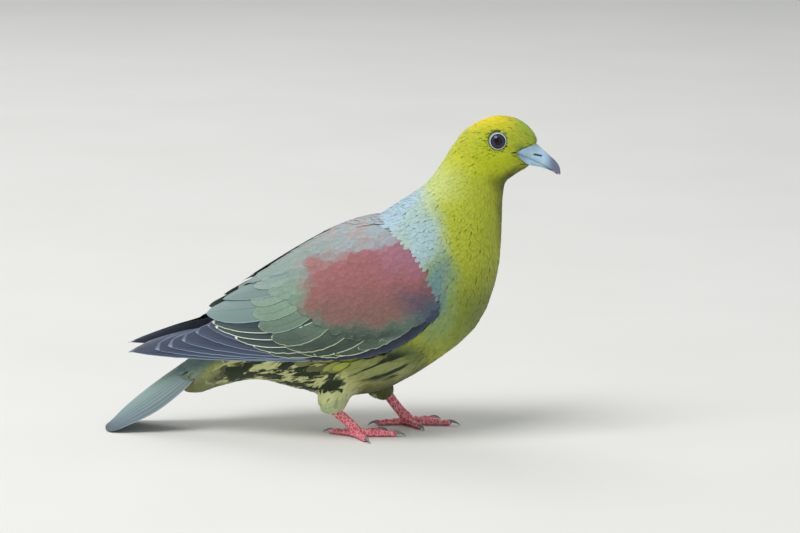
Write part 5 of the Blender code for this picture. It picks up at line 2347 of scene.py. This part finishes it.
@dataclass(frozen=True)
class FootSkin:
    """Crimson scaled skin, paler on the edges of the scales and greyer on the soles."""

    name: str

    def material(self) -> bpy.types.Material:
        """The finish as a material."""
        dresser = Dresser(self.name, Specular_IOR_Level=0.4)
        place = dresser.place()
        scales = {"Vector": place, "Scale": 480.0, "Randomness": 0.7}
        edges = {"feature": "DISTANCE_TO_EDGE"}
        seam = dresser.ramp(dresser.node("ShaderNodeTexVoronoi", edges, scales), 0.13, 0.02)
        cloud = dresser.noise(place, 260.0, 3.0)
        fine = dresser.noise(place, 1900.0, 3.0)
        sole = dresser.ramp(dresser.split(place)[2] / MM, 1.6, 0.2)
        colour = dresser.mix(cloud, tint(190, 58, 84), tint(236, 108, 124))
        colour = dresser.mix(seam * 0.85, colour, tint(244, 186, 188))
        colour = dresser.mix(sole * 0.6, colour, tint(150, 84, 92))
        dresser.dress(colour, 0.46 + 0.2 * fine, dresser.bump(fine * 0.4 - seam, 0.5, 0.15))
        return dresser.material


@dataclass(frozen=True)
class ClawHorn:
    """Grey horn, darker toward the tip, with fine lengthwise grain."""

    name: str = "claw_horn"

    def material(self) -> bpy.types.Material:
        """The finish as a material."""
        dresser = Dresser(self.name, Specular_IOR_Level=0.5)
        place = dresser.place()
        cloud = dresser.noise(place, 500.0, 3.0)
        fine = dresser.noise(place, 2400.0, 3.0)
        colour = dresser.mix(cloud, tint(84, 88, 94), tint(150, 154, 160))
        dresser.dress(colour, 0.32 + 0.2 * fine, dresser.bump(fine, 0.3, 0.08))
        return dresser.material


RIGHT_TOES = (
    Toe("middle", -3.0, 23.6, 2.5, 6.2),
    Toe("inner", -42.0, 19.0, 2.3, 5.6),
    Toe("outer", 64.0, 18.0, 2.3, 5.6),
    Toe("hind", -150.0, 17.0, 2.2, 5.6),
)
LEFT_TOES = (
    Toe("middle", -4.0, 25.6, 2.5, 6.2),
    Toe("inner", -58.0, 17.0, 2.3, 5.6),
    Toe("outer", 40.0, 19.6, 2.3, 5.6),
    Toe("hind", -166.0, 17.4, 2.2, 5.6),
)
FEET = (
    Foot(Side.RIGHT, (14.4, 19.0), (0.4, 17.4), RIGHT_TOES),
    Foot(Side.LEFT, (41.0, 19.0), (30.0, 18.4), LEFT_TOES),
)


# ---- studio


@dataclass(frozen=True)
class Lamp:
    """A square soft light: its place in metres, its size and its power."""

    name: str
    place: Point
    size: float
    power: float


@dataclass(frozen=True)
class Studio:
    """A pale floor, soft light from above and a long lens on the bird's right side."""

    target: Point = (38.8, 0.0, 94.5)
    azimuth: float = 4.0
    elevation: float = 9.0
    distance: float = 2511.0
    lens: float = 200.0
    floor_size: float = 14.0  # metres
    sky: float = 0.42
    sky_colour: tuple[float, ...] = (0.93, 0.97, 1.0, 1.0)
    lamps: tuple[Lamp, ...] = (
        Lamp("key", (-0.9, -1.0, 2.5), 1.6, 62.0),
        Lamp("fill", (1.4, -2.0, 1.0), 1.8, 7.0),
        Lamp("back", (-0.8, 1.8, 1.9), 1.6, 20.0),
    )

    def build(self) -> None:
        """Make the floor, the lights, the world and the camera."""
        self._floor()
        for lamp in self.lamps:
            data = bpy.data.lights.new(lamp.name, "AREA")
            data.size, data.energy = lamp.size, lamp.power
            place = Vector(lamp.place)
            self._stand(lamp.name, data, place, Vector(self.target) * MM - place)
        world = bpy.data.worlds.new("studio_sky")
        world.use_nodes = True
        background = world.node_tree.nodes["Background"].inputs
        background["Color"].default_value = self.sky_colour
        background["Strength"].default_value = self.sky
        bpy.context.scene.world = world
        bpy.context.scene.view_settings.view_transform = "Standard"
        self._camera()

    def _floor(self) -> None:
        """The floor."""
        mesh = bpy.data.meshes.new("studio_floor")
        half = self.floor_size / 2
        corners = [(-half, -half, 0), (half, -half, 0), (half, half, 0), (-half, half, 0)]
        mesh.from_pydata(corners, [], [(0, 1, 2, 3)])
        floor = bpy.data.objects.new("studio_floor", mesh)
        bpy.context.scene.collection.objects.link(floor)
        dresser = Dresser("pale_floor", Specular_IOR_Level=0.2)
        speckle = dresser.noise(dresser.place(), 6.0)
        dresser.dress(dresser.mix(speckle, tint(214, 213, 208), tint(222, 221, 217)), 0.8)
        mesh.materials.append(dresser.material)

    @staticmethod
    def _stand(name: str, data: bpy.types.ID, place: Vector, ahead: Vector) -> bpy.types.Object:
        """A light or camera in its place.

        Args:
            name: its name.
            data: what it is.
            place: where it stands, in metres.
            ahead: the way that it points.

        Returns:
            The object.
        """
        made = bpy.data.objects.new(name, data)
        made.location = place
        made.rotation_euler = ahead.to_track_quat("-Z", "Y").to_euler()
        bpy.context.scene.collection.objects.link(made)
        return made

    def _camera(self) -> None:
        """The camera."""
        turn, tilt = math.radians(self.azimuth), math.radians(self.elevation)
        level = math.cos(tilt)
        ahead = Vector((-math.sin(turn) * level, math.cos(turn) * level, -math.sin(tilt)))
        data = bpy.data.cameras.new("camera")
        data.lens = self.lens
        place = (Vector(self.target) - ahead * self.distance) * MM
        bpy.context.scene.camera = self._stand("camera", data, place, ahead)


# ---- the bird


def main() -> None:
    """Build the whole model and report each piece."""
    logging.basicConfig(level=logging.INFO, format="%(message)s")
    skin = Skin(Lie(), Face())
    body = skin.build()
    place_piece(body, BodyFinish("skin").skin(), FLESH)
    for coat, feathers in Plumage(skin, body).build():
        place_piece(feathers, BodyFinish(coat.name).coat(), FLESH)
    for side in Side:
        for feathers, finish in Wing(side).build():
            place_piece(feathers, finish.material(), (f"wing_{side.label}",))
    place_piece(Back().build(), COVERTS.material(), WINGS)
    place_piece(Tail().build(), TailFinish().material(), ("tail",))
    bill = Bill(skin.face)
    horn = BillFinish(bill.nostril).material()
    for mesh, node in bill.build():
        place_piece(mesh, horn, (node,))
    for side in Side:
        eye = Eye(side)
        place_piece(eye.ball_mesh(), eye.ball_finish(), (f"eye_{side.label}",))
        place_piece(eye.lid_mesh(), eye.lid_finish(), ("head",))
    claw_horn = ClawHorn().material()
    for foot in FEET:
        scales = FootSkin(f"foot_skin_{foot.side.label}").material()
        place_piece(foot.build(), scales, (f"foot_{foot.side.label}",))
        for mesh, node in foot.claws():
            place_piece(mesh, claw_horn, (node,))
    Studio().build()


if __name__ == "__main__":
    main()
